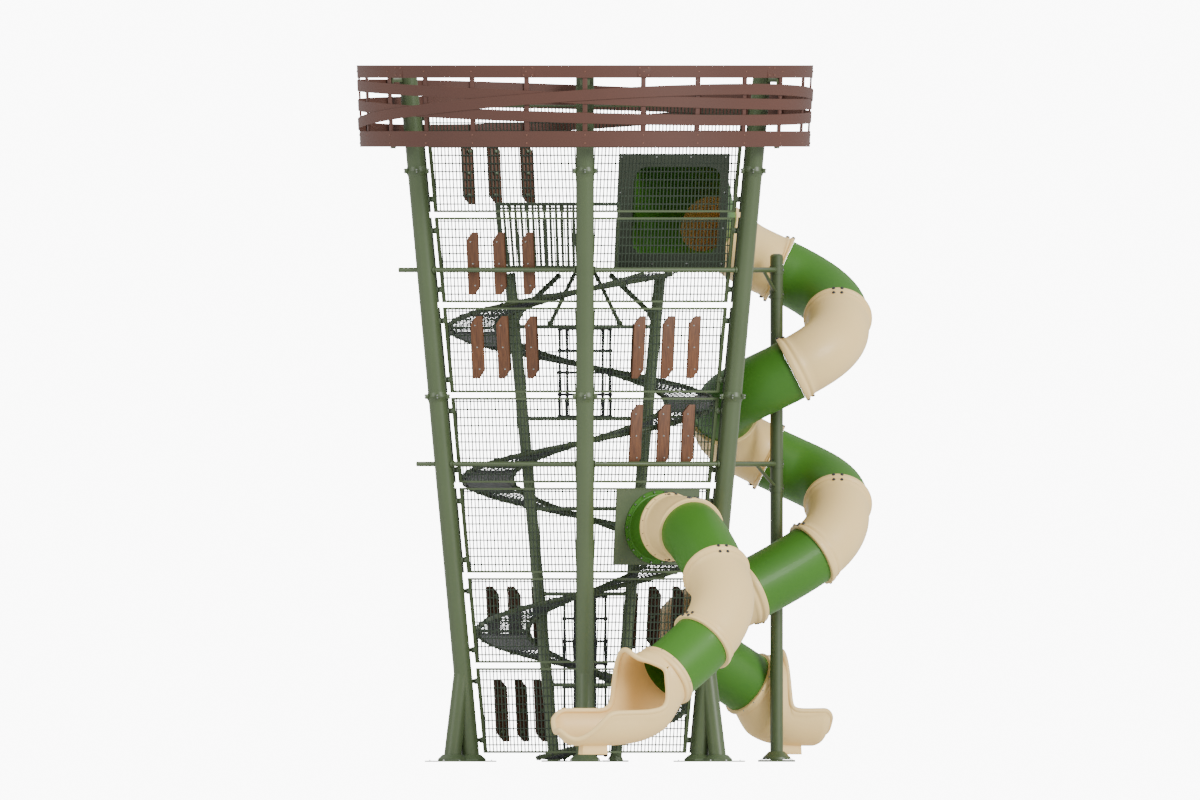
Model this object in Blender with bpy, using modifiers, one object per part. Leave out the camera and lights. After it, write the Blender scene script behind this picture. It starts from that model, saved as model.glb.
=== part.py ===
# Playground tower: six leaning posts, mesh faces, a spiral net ramp, a crown of bands
# and two tube slides. Metres, +Z up. The origin is on the ground at the middle of the
# front post's base plate, and the tower's centre is behind it, towards +Y.
import math

import bmesh
import bpy
from mathutils import Matrix, Vector

# Driving dimensions
GAP = 0.0003
LEAN = 0.106
POST_FOOT = 1.623
POST_RADIUS = 0.112
JOINT_COLLAR = 0.145
POST_TOP = 8.47
FOOT_SPREAD = 0.27
PLATE_SIZE = (0.78, 0.44, 0.036)
PLATE_DISTANCE = 1.768
CORE_SETBACK = 1.19
CORE_RADIUS = 0.057
DECK_HEIGHT = 6.03
DECK_THICKNESS = 0.04
BRACE_HEIGHTS = (3.67, 6.06)
BRACE_RADIUS = 0.03
PANEL_FIRST = 0.10
PANEL_PITCH = 1.11
PANEL_HEIGHT = 1.045
PANEL_COUNT = 7
PANEL_TOP = 8.08
PANEL_SETBACK = 0.12
PANEL_SIDE = 0.13
PANEL_BAR = 0.035
PANEL_THICKNESS = 0.03
SLOT_END = 0.045
DOORWAY_PANELS = 2
CROWN_BOTTOM = 7.574
CROWN_HEIGHT = 1.01
CROWN_FACETS = 48
UPRIGHT_RADIUS = 2.735
UPRIGHT_THICKNESS = 0.03
UPRIGHT_WIDTH = 0.06
BAND_THICKNESS = 0.01
CROWN_FLARE = 0.042
RAMP_PITCH = 1.87
RAMP_LEFT_HEIGHT = 1.605
RAMP_RAIL = 0.05
RAMP_FLOOR = 0.012
RAMP_OUTER_SETBACK = 0.20
RAMP_STEP = 15
RAMP_SPLIT = 0.015
RAMP_END = 311.985
TUBE_RADIUS = 0.385
BEAD_RADIUS = 0.425
TUBE_WALL = 0.012
BEND_RADIUS = 0.573
TUBE_SIDES = 14
MAST_PLACE = (2.36, 2.44)
MAST_RADIUS = 0.08
MAST_TOP = 6.28
SPIRAL_HALF = 0.70
SPIRAL_X = 2.414
SPIRAL_Y = 2.50

STEEL_GREEN = (0.115, 0.165, 0.085, 1)
DARK_GREEN = (0.045, 0.085, 0.04, 1)
TUBE_GREEN = (0.055, 0.22, 0.02, 1)
SAND = (0.70, 0.55, 0.36, 1)
RUST_BROWN = (0.17, 0.065, 0.045, 1)
ROPE_BLACK = (0.02, 0.02, 0.022, 1)
NET_GREY = (0.08, 0.085, 0.09, 1)

for item in list(bpy.data.objects):
    bpy.data.objects.remove(item, do_unlink=True)

tower = bpy.data.collections.new("playground_tower")
cutters = bpy.data.collections.new("cutters")
bpy.context.scene.collection.children.link(tower)
bpy.context.scene.collection.children.link(cutters)

# Everything is modelled round the tower's axis and hangs from this empty.
base = bpy.data.objects.new("tower_base", None)
base.location = (0, PLATE_DISTANCE, 0)
bpy.context.scene.collection.objects.link(base)


def finish(name, colour, roughness, metallic):
    """A Principled BSDF in one colour."""
    material = bpy.data.materials.new(name)
    material.use_nodes = True
    shader = material.node_tree.nodes["Principled BSDF"]
    shader.inputs["Base Color"].default_value = colour
    shader.inputs["Roughness"].default_value = roughness
    shader.inputs["Metallic"].default_value = metallic
    return material


steel = finish("painted_steel", STEEL_GREEN, 0.45, 0.0)
dark_steel = finish("dark_painted_steel", DARK_GREEN, 0.5, 0.0)
green_plastic = finish("green_plastic", TUBE_GREEN, 0.35, 0.0)
sand_plastic = finish("sand_plastic", SAND, 0.4, 0.0)
rust_steel = finish("rust_brown_steel", RUST_BROWN, 0.5, 0.0)
rope = finish("black_rope", ROPE_BLACK, 0.8, 0.0)
netting = finish("grey_netting", NET_GREY, 0.8, 0.0)


def add_object(name, mesh, material, collection=tower):
    """Wrap a mesh in an object with its material."""
    mesh.materials.clear()
    mesh.materials.append(material)
    item = bpy.data.objects.new(name, mesh)
    item.parent = base
    collection.objects.link(item)
    return item


def mesh_from(shape, name, smooth=False):
    """Turn a bmesh into a mesh with faces pointing out."""
    bmesh.ops.recalc_face_normals(shape, faces=shape.faces)
    mesh = bpy.data.meshes.new(name)
    shape.to_mesh(mesh)
    shape.free()
    if smooth:
        mesh.shade_smooth()
        mesh.set_sharp_from_angle(angle=math.radians(40))
    return mesh


def rod_mesh(start, end, radius, sides=12, end_radius=None, facing=(1, 0, 0)):
    """A closed cylinder or cone between two points, with a corner on the facing side."""
    start, end = Vector(start), Vector(end)
    span = end - start
    along = span.normalized()
    across = along.cross(Vector(facing)).normalized()
    turn = Matrix((across.cross(along), across, along)).transposed().to_4x4()
    place = Matrix.Translation((start + end) / 2) @ turn
    shape = bmesh.new()
    top_radius = radius if end_radius is None else end_radius
    bmesh.ops.create_cone(shape, cap_ends=True, segments=sides, radius1=radius,
                          radius2=top_radius, depth=span.length, matrix=place)
    return mesh_from(shape, "rod", smooth=True)


def box_mesh(size, place):
    """A closed box of a given size, put in place by a matrix."""
    shape = bmesh.new()
    stretch = Matrix.Diagonal((*size, 1))
    bmesh.ops.create_cube(shape, size=1, matrix=place @ stretch)
    return mesh_from(shape, "box")


def union(name, meshes, material):
    """One body from overlapping closed meshes, by Boolean unions on the first."""
    body = add_object(name, meshes[0], material)
    for number, mesh in enumerate(meshes[1:]):
        tool = add_object(f"{name}_tool_{number}", mesh, material, cutters)
        tool.hide_render = True
        tool.display_type = "WIRE"
        join = body.modifiers.new(f"join_{number}", "BOOLEAN")
        join.operation = "UNION"
        join.solver = "EXACT"
        join.object = tool
    return body


def plate_mesh(outline, holes, thickness, place):
    """A flat plate with holes from a filled 2D curve, put in place by a matrix."""
    curve = bpy.data.curves.new("plate", "CURVE")
    curve.dimensions = "2D"
    curve.fill_mode = "BOTH"
    curve.extrude = thickness / 2
    for points in [outline] + holes:
        spline = curve.splines.new("POLY")
        spline.points.add(len(points) - 1)
        spline.use_cyclic_u = True
        for spot, (x, y) in zip(spline.points, points):
            spot.co = (x, y, 0, 1)
    guide = bpy.data.objects.new("plate", curve)
    cutters.objects.link(guide)
    depsgraph = bpy.context.evaluated_depsgraph_get()
    mesh = bpy.data.meshes.new_from_object(guide.evaluated_get(depsgraph))
    bpy.data.objects.remove(guide, do_unlink=True)
    shape = bmesh.new()
    shape.from_mesh(mesh)
    bmesh.ops.remove_doubles(shape, verts=shape.verts, dist=0.00005)
    bmesh.ops.transform(shape, matrix=place, verts=shape.verts)
    return mesh_from(shape, "plate")


def loop_mesh(sections, closed=False):
    """A closed body from equal loops of points: joined in a ring, or capped at both ends."""
    shape = bmesh.new()
    rings = [[shape.verts.new(point) for point in section] for section in sections]
    count = len(rings[0])
    pairs = list(zip(rings, rings[1:] + rings[:1])) if closed else list(zip(rings, rings[1:]))
    for near, far in pairs:
        for i in range(count):
            j = (i + 1) % count
            shape.faces.new((near[i], near[j], far[j], far[i]))
    if not closed:
        shape.faces.new(rings[0])
        shape.faces.new(list(reversed(rings[-1])))
    return mesh_from(shape, "loop")


def split_faces(mesh):
    """The same mesh in triangles, so that no face is warped."""
    shape = bmesh.new()
    shape.from_mesh(mesh)
    bmesh.ops.triangulate(shape, faces=shape.faces)
    shape.to_mesh(mesh)
    shape.free()
    return mesh


def polar(radius, angle, height):
    """A point from a radius, an angle in degrees and a height."""
    turn = math.radians(angle)
    return Vector((radius * math.cos(turn), radius * math.sin(turn), height))


def post_distance(height):
    """Distance of a post's centre line from the tower's axis."""
    return POST_FOOT + LEAN * height


def core_distance(height):
    return post_distance(height) - CORE_SETBACK


def radial_place(radius, angle, height):
    """A frame with its X axis pointing outwards at an angle."""
    return Matrix.Translation(polar(radius, angle, height)) @ Matrix.Rotation(
        math.radians(angle), 4, "Z")


POST_ANGLES = [30 + 60 * step for step in range(6)]
POST_NAMES = ["back_right", "back", "back_left", "front_left", "front", "front_right"]
FACE_NAMES = ["back_right", "back_left", "left", "front_left", "front_right", "right"]

# Outer posts: leaning tube, raking strut at the foot, base plate, flared shoes,
# two bolted joints, crown arms and the two brace tubes of the next face.
STRUT_TOP = 1.12
STRUT_RADIUS = 0.105
JOINT_HEIGHTS = (4.50, 7.28)
CROWN_ARM_HEIGHTS = (7.62, 8.40)


def face_place(angle):
    """A frame for the face between two posts: X along it, Y up its slope, Z outwards."""
    middle = polar(1, angle + 30, 0)
    slope = LEAN * math.cos(math.radians(30))
    along = Vector((0, 0, 1)).cross(middle).normalized()
    up = (middle * slope + Vector((0, 0, 1))).normalized()
    out = along.cross(up)
    place = Matrix((along, up, out)).transposed().to_4x4()
    origin = middle * (POST_FOOT * math.cos(math.radians(30))) - out * PANEL_SETBACK
    place.translation = origin
    return place


SLOPE_LENGTH = math.hypot(1, LEAN * math.cos(math.radians(30)))
LUG_HEIGHTS = (0.62, 2.84, 5.06, 7.42)
LUG_SIZE = (0.05, 0.024)
DOORWAY_ANGLE = 150
PANEL_EDGES = [(PANEL_FIRST + PANEL_PITCH * i, PANEL_FIRST + PANEL_PITCH * i + PANEL_HEIGHT)
               for i in range(PANEL_COUNT - 1)]
PANEL_EDGES.append((PANEL_FIRST + PANEL_PITCH * (PANEL_COUNT - 1), PANEL_TOP))


def half_width(height):
    """Half the width of a mesh face, which leaves room for the posts' clamps."""
    return post_distance(height) / 2 - PANEL_SIDE


def lug_parts(face_angle, side, height):
    """A clamp that reaches from a post to the edge of a mesh face: an arm and its root."""
    near = post_distance(height) / 2 - 0.02
    far = half_width(height + LUG_SIZE[0] / 2) + GAP
    place = face_place(face_angle)
    level = height * SLOPE_LENGTH
    arm = place @ Matrix.Translation((side * (near + far) / 2, level, 0))
    root = place @ Matrix.Translation((side * (near - 0.015), level, PANEL_SETBACK / 2 - 0.017))
    return [box_mesh((near - far, *LUG_SIZE), arm),
            box_mesh((0.034, LUG_SIZE[0] - 0.006, PANEL_SETBACK / 2), root)]


def outer_post(name, angle):
    def on_axis(height):
        return polar(post_distance(height), angle, height)

    strut_foot = polar(post_distance(0) + FOOT_SPREAD, angle, 0.022)
    outward = polar(1, angle, 0)
    parts = [rod_mesh(on_axis(0.022), on_axis(POST_TOP), POST_RADIUS, 16, facing=outward)]
    parts.append(rod_mesh(strut_foot, on_axis(STRUT_TOP), STRUT_RADIUS, 12,
                          facing=polar(1, angle + 8, 0)))
    plate = radial_place(PLATE_DISTANCE, angle, PLATE_SIZE[2] / 2)
    parts.append(box_mesh(PLATE_SIZE, plate))
    for foot in (on_axis(0.015), strut_foot - Vector((0, 0, 0.007))):
        parts.append(rod_mesh(foot, foot + Vector((0, 0, 0.10)), 0.20, 10, 0.11,
                              facing=polar(1, angle + 11, 0)))
    for height in JOINT_HEIGHTS:
        parts.append(rod_mesh(on_axis(height - 0.025), on_axis(height + 0.025), JOINT_COLLAR, 12,
                              facing=polar(1, angle + 5, 0)))
    for height in CROWN_ARM_HEIGHTS:
        inner = post_distance(height)
        outer = upright_face(height - 0.03) - GAP
        place = radial_place((inner + outer) / 2, angle, height)
        parts.append(box_mesh((outer - inner, 0.08, 0.06), place))
    for height in BRACE_HEIGHTS:
        near = on_axis(height)
        far = polar(post_distance(height), angle + 60, height)
        along = (far - near).normalized()
        stop = (far - near).length - POST_RADIUS - 0.0015
        parts.append(rod_mesh(near, near + along * stop, BRACE_RADIUS, 8, facing=(0.1, 0.2, 1)))
    for height in LUG_HEIGHTS:
        for face_angle, side in ((angle, -1), (angle - 60, 1)):
            if face_angle != DOORWAY_ANGLE or height > PANEL_EDGES[DOORWAY_PANELS][0]:
                parts += lug_parts(face_angle, side, height)
    return union(name, parts, steel)


def upright_face(height):
    """Inner face radius of the crown's uprights."""
    return UPRIGHT_RADIUS + CROWN_FLARE * (height - CROWN_BOTTOM) / CROWN_HEIGHT


for label, angle in zip(POST_NAMES, POST_ANGLES):
    outer_post(f"outer_post_{label}", angle)

# Inner posts lean with the outer ones and carry the deck, each with a knee brace.
KNEE_HEIGHT = 5.46
KNEE_REACH = 0.36


CORE_TIP = CORE_RADIUS * math.hypot(1, LEAN)


def inner_post(name, angle):
    outward = polar(1, angle, 0)
    foot = CORE_TIP * LEAN
    top = DECK_HEIGHT - foot - GAP
    knee = polar(KNEE_REACH, angle, DECK_HEIGHT - 0.03)
    parts = [
        rod_mesh(polar(core_distance(foot), angle, foot + GAP),
                 polar(core_distance(top), angle, top), CORE_RADIUS, 8, facing=outward),
        rod_mesh(polar(core_distance(KNEE_HEIGHT), angle, KNEE_HEIGHT), knee, 0.025, 6,
                 facing=outward),
    ]
    return union(name, parts, dark_steel)


for label, angle in zip(POST_NAMES, POST_ANGLES):
    inner_post(f"inner_post_{label}", angle)

# Core rings tie the inner posts, and two cross bars in each hold the climbing nets.
CORE_RING_HEIGHTS = (0.95, 2.07, 3.12, 4.23, 5.36)
NET_RINGS = (2, 4, 5)
RING_TUBE = 0.022
CROSS_BAR_Y = 0.219
CROSS_BAR_RADIUS = 0.016


def core_ring(name, height, bar_sides):
    corner = core_distance(height - RING_TUBE) - CORE_TIP - RING_TUBE - GAP
    sections = []
    for angle in POST_ANGLES:
        sections.append([polar(corner + dx * RING_TUBE, angle, height + dz * RING_TUBE)
                         for dx, dz in ((-1, -1), (1, -1), (1, 1), (-1, 1))])
    parts = [loop_mesh(sections, closed=True)]
    for side in bar_sides:
        reach = corner * 0.866
        bar_y = side * CROSS_BAR_Y
        parts.append(rod_mesh((-reach, bar_y, height), (reach, bar_y, height), CROSS_BAR_RADIUS, 6,
                              facing=(0, 0, 1)))
    return union(name, parts, dark_steel)


for number, height in enumerate(CORE_RING_HEIGHTS, 1):
    core_ring(f"core_ring_{number}", height, (-1, 1) if number in NET_RINGS else ())


# Climbing nets: tubes of knotted rope hung between two core rings.
ROPE_THICKNESS = 0.022
NET_REACH = CROSS_BAR_RADIUS + ROPE_THICKNESS / 2 - 0.0018


def climbing_net(name, low, high, radius, ropes, rungs):
    shape = bmesh.new()
    rows = []
    for row in range(rungs):
        height = low + (high - low) * row / (rungs - 1)
        rows.append([shape.verts.new(polar(radius, 360 * i / ropes, height))
                     for i in range(ropes)])
    for lower, upper in zip(rows, rows[1:]):
        for i in range(ropes):
            j = (i + 1) % ropes
            shape.faces.new((lower[i], lower[j], upper[j], upper[i]))
    net = add_object(name, mesh_from(shape, name), rope)
    frame = net.modifiers.new("ropes", "WIREFRAME")
    frame.thickness = ROPE_THICKNESS
    frame.use_even_offset = True
    frame.use_boundary = True
    return net


climbing_net("climbing_net_upper", CORE_RING_HEIGHTS[3] + NET_REACH,
             CORE_RING_HEIGHTS[4] - NET_REACH, CROSS_BAR_Y * math.sqrt(2), 8, 5)
climbing_net("climbing_net_lower", 0.09, CORE_RING_HEIGHTS[1] - NET_REACH,
             CROSS_BAR_Y / math.cos(math.radians(30)), 6, 8)


# Deck over the core and the right-hand sector, with the ramp's well left open.
def hexagon_edge(apothem, angle):
    """Distance to a hexagon's edge at an angle, its corners at the posts' angles."""
    offset = (angle % 60) - 0
    return apothem / math.cos(math.radians(offset))


deck_apothem = post_distance(DECK_HEIGHT) * 0.866 - PANEL_SETBACK - PANEL_THICKNESS / 2 - 0.0009
core_corner = core_distance(DECK_HEIGHT) + 0.14
DECK_RETURN = 0.09
deck_outline = [polar(core_corner, angle, 0).xy for angle in (90, 150, 210, 270)]
deck_outline.append(polar(core_corner - DECK_RETURN, 312, 0).xy)
deck_outline.append(polar(hexagon_edge(deck_apothem, 312), 312, 0).xy)
for corner in (330, 30, 90):
    deck_outline.append(polar(deck_apothem / 0.866, corner, 0).xy)
deck_centre = DECK_HEIGHT + DECK_THICKNESS / 2
deck = plate_mesh(deck_outline, [], DECK_THICKNESS, Matrix.Translation((0, 0, deck_centre)))
add_object("deck", deck, dark_steel)

# Guard of upright bars round the core's open edges, leaning like the posts.
GUARD_HEIGHT = 0.80
GUARD_BARS = 7
GUARD_ANGLES = (90, 150, 210, 270)


def guard():
    floor = DECK_HEIGHT + DECK_THICKNESS
    foot = core_corner - 0.05
    rails = []
    for level, thick in ((0.03, 0.015), (GUARD_HEIGHT, 0.022)):
        reach = foot + LEAN * level
        sections = []
        for angle in GUARD_ANGLES:
            sections.append([polar(reach + dx * thick, angle, floor + level + dz * thick)
                             for dx, dz in ((-1, -1), (1, -1), (1, 1), (-1, 1))])
        rails.append(loop_mesh(sections))
    bars = []
    for near, far in zip(GUARD_ANGLES, GUARD_ANGLES[1:]):
        for step in range(1, GUARD_BARS):
            share = step / GUARD_BARS
            low_height = floor + GAP + 0.0014
            low = polar(foot, near, low_height).lerp(polar(foot, far, low_height), share)
            reach = foot + LEAN * GUARD_HEIGHT
            top_height = floor + GUARD_HEIGHT
            high = polar(reach, near, top_height).lerp(polar(reach, far, top_height), share)
            bars.append(rod_mesh(low, high, 0.012, 4))
    return union("deck_guard", rails + bars, dark_steel)


guard()


# Mesh faces: a stack of framed panels in one leaning plane between two posts.
def quad(left, right, low, high):
    """Corners in the face's frame, from shares of the half width or fixed half sizes."""
    return [(left(low), low * SLOPE_LENGTH), (right(low), low * SLOPE_LENGTH),
            (right(high), high * SLOPE_LENGTH), (left(high), high * SLOPE_LENGTH)]


def cells(low, high, columns):
    """Openings of one panel, its bars standing at equal shares of the width."""
    found = []
    for column in range(columns):
        def edge(height, share, inset):
            inner = half_width(height) - PANEL_BAR
            return -inner + 2 * inner * share + inset

        def left(height, share=column / columns):
            return edge(height, share, 0 if share == 0 else PANEL_BAR / 4)

        def right(height, share=(column + 1) / columns):
            return edge(height, share, 0 if share == 1 else -PANEL_BAR / 4)

        found.append(quad(left, right, low + PANEL_BAR, high - PANEL_BAR))
    return found


def side_cells(entry, low, high):
    """Openings between the stiles and an entry, where they stand far enough apart."""
    centre, half = entry[:2]
    found = []
    for side in (-1, 1):
        def near(height):
            return centre + side * (half + PANEL_BAR)

        def far(height):
            return side * (half_width(height) - PANEL_BAR)

        if side * (far(low) - near(low)) > 2 * PANEL_BAR:
            edges = (near, far) if side > 0 else (far, near)
            found.append(quad(*edges, low, high))
    return found


UPPER_ENTRY = (-0.14, 0.78, 6.08, 7.48)
LOWER_ENTRY = (0.12, 0.59, 2.42, 3.345)
UPPER_HOLE_X = -0.20
LOWER_HOLE_X = 0.12


def mesh_face(name, angle, first=0, entry=None):
    """Every panel of one face from the first given, in one lattice."""
    bottom = PANEL_EDGES[first][0]
    outline = quad(lambda height: -half_width(height), half_width, bottom, PANEL_TOP)
    holes = []
    for i, (low, high) in list(enumerate(PANEL_EDGES))[first:]:
        gap_top = PANEL_EDGES[i + 1][0] if i + 1 < PANEL_COUNT else None
        spans = [(low, high)]
        if entry:
            entry_low, entry_high = entry[2:]
            spans = []
            if low < entry_low - 3 * PANEL_BAR:
                spans.append((low, min(high, entry_low)))
            if high > entry_high + 3 * PANEL_BAR:
                spans.append((max(low, entry_high), high))
            side_low, side_high = max(low, entry_low), min(high, entry_high)
            if side_high - side_low > 6 * PANEL_BAR:
                holes += side_cells(entry, side_low + PANEL_BAR, side_high - PANEL_BAR)
        for span_low, span_high in spans:
            if span_high - span_low > 3 * PANEL_BAR:
                holes += cells(span_low, span_high, 3)
        clear = not entry or gap_top < entry[2] or high > entry[3] if gap_top else False
        if clear:
            holes.append(quad(lambda h: SLOT_END - half_width(h),
                              lambda h: half_width(h) - SLOT_END, high, gap_top))
    if entry:
        centre, half, entry_low, entry_high = entry
        holes.append(quad(lambda height: centre - half - GAP, lambda height: centre + half + GAP,
                          entry_low - GAP, entry_high + GAP))
    plate = plate_mesh(outline, holes, PANEL_THICKNESS, face_place(angle))
    return add_object(name, plate, steel)


ENTRIES = {"back_right": UPPER_ENTRY, "front_right": LOWER_ENTRY}
for label, angle in zip(FACE_NAMES, POST_ANGLES):
    mesh_face(f"mesh_face_{label}", angle, DOORWAY_PANELS if label == "left" else 0,
              ENTRIES.get(label))


def round_square(half, tall, corner, steps):
    """Outline of an upright rectangle with round corners."""
    points = []
    for turn, (sx, sy) in enumerate(((1, 1), (-1, 1), (-1, -1), (1, -1))):
        for step in range(steps + 1):
            angle = math.radians(90 * turn + 90 * step / steps)
            points.append((sx * (half - corner) + corner * math.cos(angle),
                           sy * (tall - corner) + corner * math.sin(angle)))
    return points


def entry_plate(name, angle, entry, hole, hole_x):
    """Sheet steel plate that fills an entry's place in a face, holed for the slide."""
    centre, half, low, high = entry
    middle = (low + high) / 2 * SLOPE_LENGTH
    outline = quad(lambda height: centre - half, lambda height: centre + half, low, high)
    points = [(x + hole_x, y + middle) for x, y in hole]
    return add_object(name, plate_mesh(outline, [points], 0.02, face_place(angle)), dark_steel)


HOOD_HALF = 0.62
HOOD_TALL = 0.54
HOOD_CORNER = 0.17
entry_plate("upper_entry_plate", 30, UPPER_ENTRY, round_square(HOOD_HALF, HOOD_TALL, HOOD_CORNER, 3),
            UPPER_HOLE_X)
DISC_RADIUS = 0.415
disc_points = [tuple(polar(DISC_RADIUS, 22.5 * i, 0).xy) for i in range(16)]
entry_plate("lower_entry_plate", 270, LOWER_ENTRY, disc_points, LOWER_HOLE_X)


# Slide centre lines: moves in plan, each ("straight", length) or ("bend", degrees),
# with a height at every joint and a smooth fall between.
def plan_points(start, heading, moves):
    """Plan position and heading at a distance along the moves."""
    legs = []
    place = Vector(start)
    turn = math.radians(heading)
    travelled = 0
    for kind, amount in moves:
        length = amount if kind == "straight" else abs(math.radians(amount)) * BEND_RADIUS
        legs.append((travelled, length, kind, amount, place.copy(), turn))
        if kind == "straight":
            place += Vector((math.cos(turn), math.sin(turn))) * amount
        else:
            side = math.copysign(1, amount)
            centre = place + Vector((-math.sin(turn), math.cos(turn))) * side * BEND_RADIUS
            turn += math.radians(amount)
            place = centre - Vector((-math.sin(turn), math.cos(turn))) * side * BEND_RADIUS
        travelled += length

    def at(distance):
        leg = [leg for leg in legs if leg[0] <= distance + 1e-9][-1]
        begun, length, kind, amount, place, turn = leg
        run = distance - begun
        if kind == "straight":
            return place + Vector((math.cos(turn), math.sin(turn))) * run, turn
        side = math.copysign(1, amount)
        centre = place + Vector((-math.sin(turn), math.cos(turn))) * side * BEND_RADIUS
        turned = turn + side * run / BEND_RADIUS
        spot = centre - Vector((-math.sin(turned), math.cos(turned))) * side * BEND_RADIUS
        return spot, turned

    return at, travelled


def smooth_fall(joints, heights):
    """Height and slope at a distance, by a cubic through the joints."""
    slopes = []
    for i in range(len(joints)):
        low, high = max(i - 1, 0), min(i + 1, len(joints) - 1)
        slopes.append((heights[high] - heights[low]) / (joints[high] - joints[low]))

    def at(distance):
        i = max(k for k in range(len(joints) - 1) if joints[k] <= distance + 1e-9 or k == 0)
        span = joints[i + 1] - joints[i]
        t = min(max((distance - joints[i]) / span, 0), 1)
        h, m = heights, slopes
        value = ((2 * t**3 - 3 * t**2 + 1) * h[i] + (t**3 - 2 * t**2 + t) * span * m[i]
                 + (3 * t**2 - 2 * t**3) * h[i + 1] + (t**3 - t**2) * span * m[i + 1])
        slope = ((6 * t**2 - 6 * t) * (h[i] - h[i + 1]) / span
                 + (3 * t**2 - 4 * t + 1) * m[i] + (3 * t**2 - 2 * t) * m[i + 1])
        return value, slope

    return at


def slide_frames(at, fall, distance):
    """Centre point and the two cross axes of the tube at a distance."""
    spot, turn = at(distance)
    height, slope = fall(distance)
    along = Vector((math.cos(turn), math.sin(turn), slope)).normalized()
    left = Vector((-math.sin(turn), math.cos(turn), 0))
    return Vector((spot.x, spot.y, height)), left, along.cross(left)


def tube_piece(name, at, fall, begin, end, steps, material, bead):
    """One hollow slide section between two joints, with a thicker bead at its ends."""
    begin, end = begin + GAP / 2, end - GAP / 2
    stations = [(begin + (end - begin) * i / steps, TUBE_RADIUS) for i in range(steps + 1)]
    if bead:
        stations[0] = (begin + 0.056, TUBE_RADIUS)
        stations[-1] = (end - 0.056, TUBE_RADIUS)
        stations = ([(begin, BEAD_RADIUS), (begin + 0.045, BEAD_RADIUS)] + stations
                    + [(end - 0.045, BEAD_RADIUS), (end, BEAD_RADIUS)])
    outer, inner = [], []
    for distance, radius in stations:
        centre, left, up = slide_frames(at, fall, distance)
        spokes = [left * math.cos(math.tau * i / TUBE_SIDES) + up * math.sin(math.tau * i / TUBE_SIDES)
                  for i in range(TUBE_SIDES)]
        outer.append([centre + spoke * radius for spoke in spokes])
        inner.append([centre + spoke * (TUBE_RADIUS - TUBE_WALL) for spoke in spokes])
    mesh = split_faces(loop_mesh(outer + inner[::-1], closed=True))
    mesh.shade_smooth()
    mesh.set_sharp_from_angle(angle=math.radians(40))
    return add_object(name, mesh, material)


# Long slide: out of the back right face, then a square spiral round the mast.
half_straight = SPIRAL_HALF - BEND_RADIUS
SIDE = 2 * half_straight
HOOD_DEPTH = 0.75
hood_angle = 60
face_mid = polar(post_distance(6.78) * math.cos(math.radians(30)) - PANEL_SETBACK, hood_angle, 0)
long_start = (face_mid + polar(HOOD_DEPTH, hood_angle, 0)
              + polar(UPPER_HOLE_X, hood_angle + 90, 0)).xy
spiral_back = SPIRAL_Y + SPIRAL_HALF
run_to_bend = ((spiral_back - long_start.y) / math.sin(math.radians(60))
               - BEND_RADIUS * math.tan(math.radians(30)))
bend_end_x = (long_start.x + (spiral_back - long_start.y) / math.tan(math.radians(60))
              + BEND_RADIUS * math.tan(math.radians(30)))
long_moves = [
    ("straight", run_to_bend), ("bend", -60), ("straight", SPIRAL_X - bend_end_x),
    ("straight", half_straight), ("bend", -90),
    ("straight", SIDE), ("bend", -90),
    ("straight", SIDE), ("bend", -90),
    ("straight", SIDE), ("bend", -90),
    ("straight", SIDE), ("bend", -90),
    ("straight", SIDE), ("bend", -65),
    ("straight", 0.83),
    ("bend", -173.5),
    ("straight", 0.60),
]
long_at, long_length = plan_points(long_start, hood_angle, long_moves)
long_joints_moves = (0, 3, 5, 7, 9, 11, 13, 15, 16, 17, 18)
long_heights = (6.63, 6.06, 5.48, 4.828, 4.292, 3.744, 3.19, 2.549, 2.11, 1.30, 0.973)


def joint_distances(moves, stops):
    lengths = [amount if kind == "straight" else abs(math.radians(amount)) * BEND_RADIUS
               for kind, amount in moves]
    return [sum(lengths[:stop]) for stop in stops]


long_joints = joint_distances(long_moves, long_joints_moves)
long_fall = smooth_fall(long_joints, long_heights)
for i in range(len(long_joints) - 1):
    sandy = i in (0, 2, 4, 6, 8)
    steps = 2 if i in (7, 9) else 5
    label = f"long_slide_{'bend' if sandy else 'tube'}_{i // 2 + 1}"
    tube_piece(label, long_at, long_fall, long_joints[i], long_joints[i + 1], steps,
               sand_plastic if sandy else green_plastic, sandy)


# Hood and collar: lofts from an entry's hole to the start of its tube.
def hood(name, angle, entry, hole, hole_x, at, fall, neck, flare):
    place = face_place(angle)
    middle = (entry[2] + entry[3]) / 2 * SLOPE_LENGTH
    begin = 0.010 + GAP
    count = len(hole)
    centre, left, up = slide_frames(at, fall, 0)
    back_off = left.cross(up).normalized() * (GAP / 2)

    def round_ring(radius):
        ring = []
        for x, y in hole:
            turn = math.atan2(y, x)
            spoke = left * math.cos(turn) + up * math.sin(turn)
            ring.append(centre - back_off + spoke * radius)
        return ring

    def square_ring(scale, lift):
        return [place @ Vector((x * scale + hole_x, y * scale + middle, lift)) for x, y in hole]

    outer = [square_ring(flare, begin), square_ring(flare - 0.03, neck),
             round_ring(TUBE_RADIUS + 0.02)]
    inner = [square_ring(0.985, begin), square_ring(0.95, neck),
             round_ring(TUBE_RADIUS - TUBE_WALL)]
    mesh = split_faces(loop_mesh(outer + inner[::-1], closed=True))
    mesh.shade_smooth()
    mesh.set_sharp_from_angle(angle=math.radians(40))
    return add_object(name, mesh, green_plastic)


hood("long_slide_hood", 30, UPPER_ENTRY, round_square(HOOD_HALF, HOOD_TALL, HOOD_CORNER, 3), UPPER_HOLE_X,
     long_at, long_fall, 0.20, 1.03)

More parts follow.
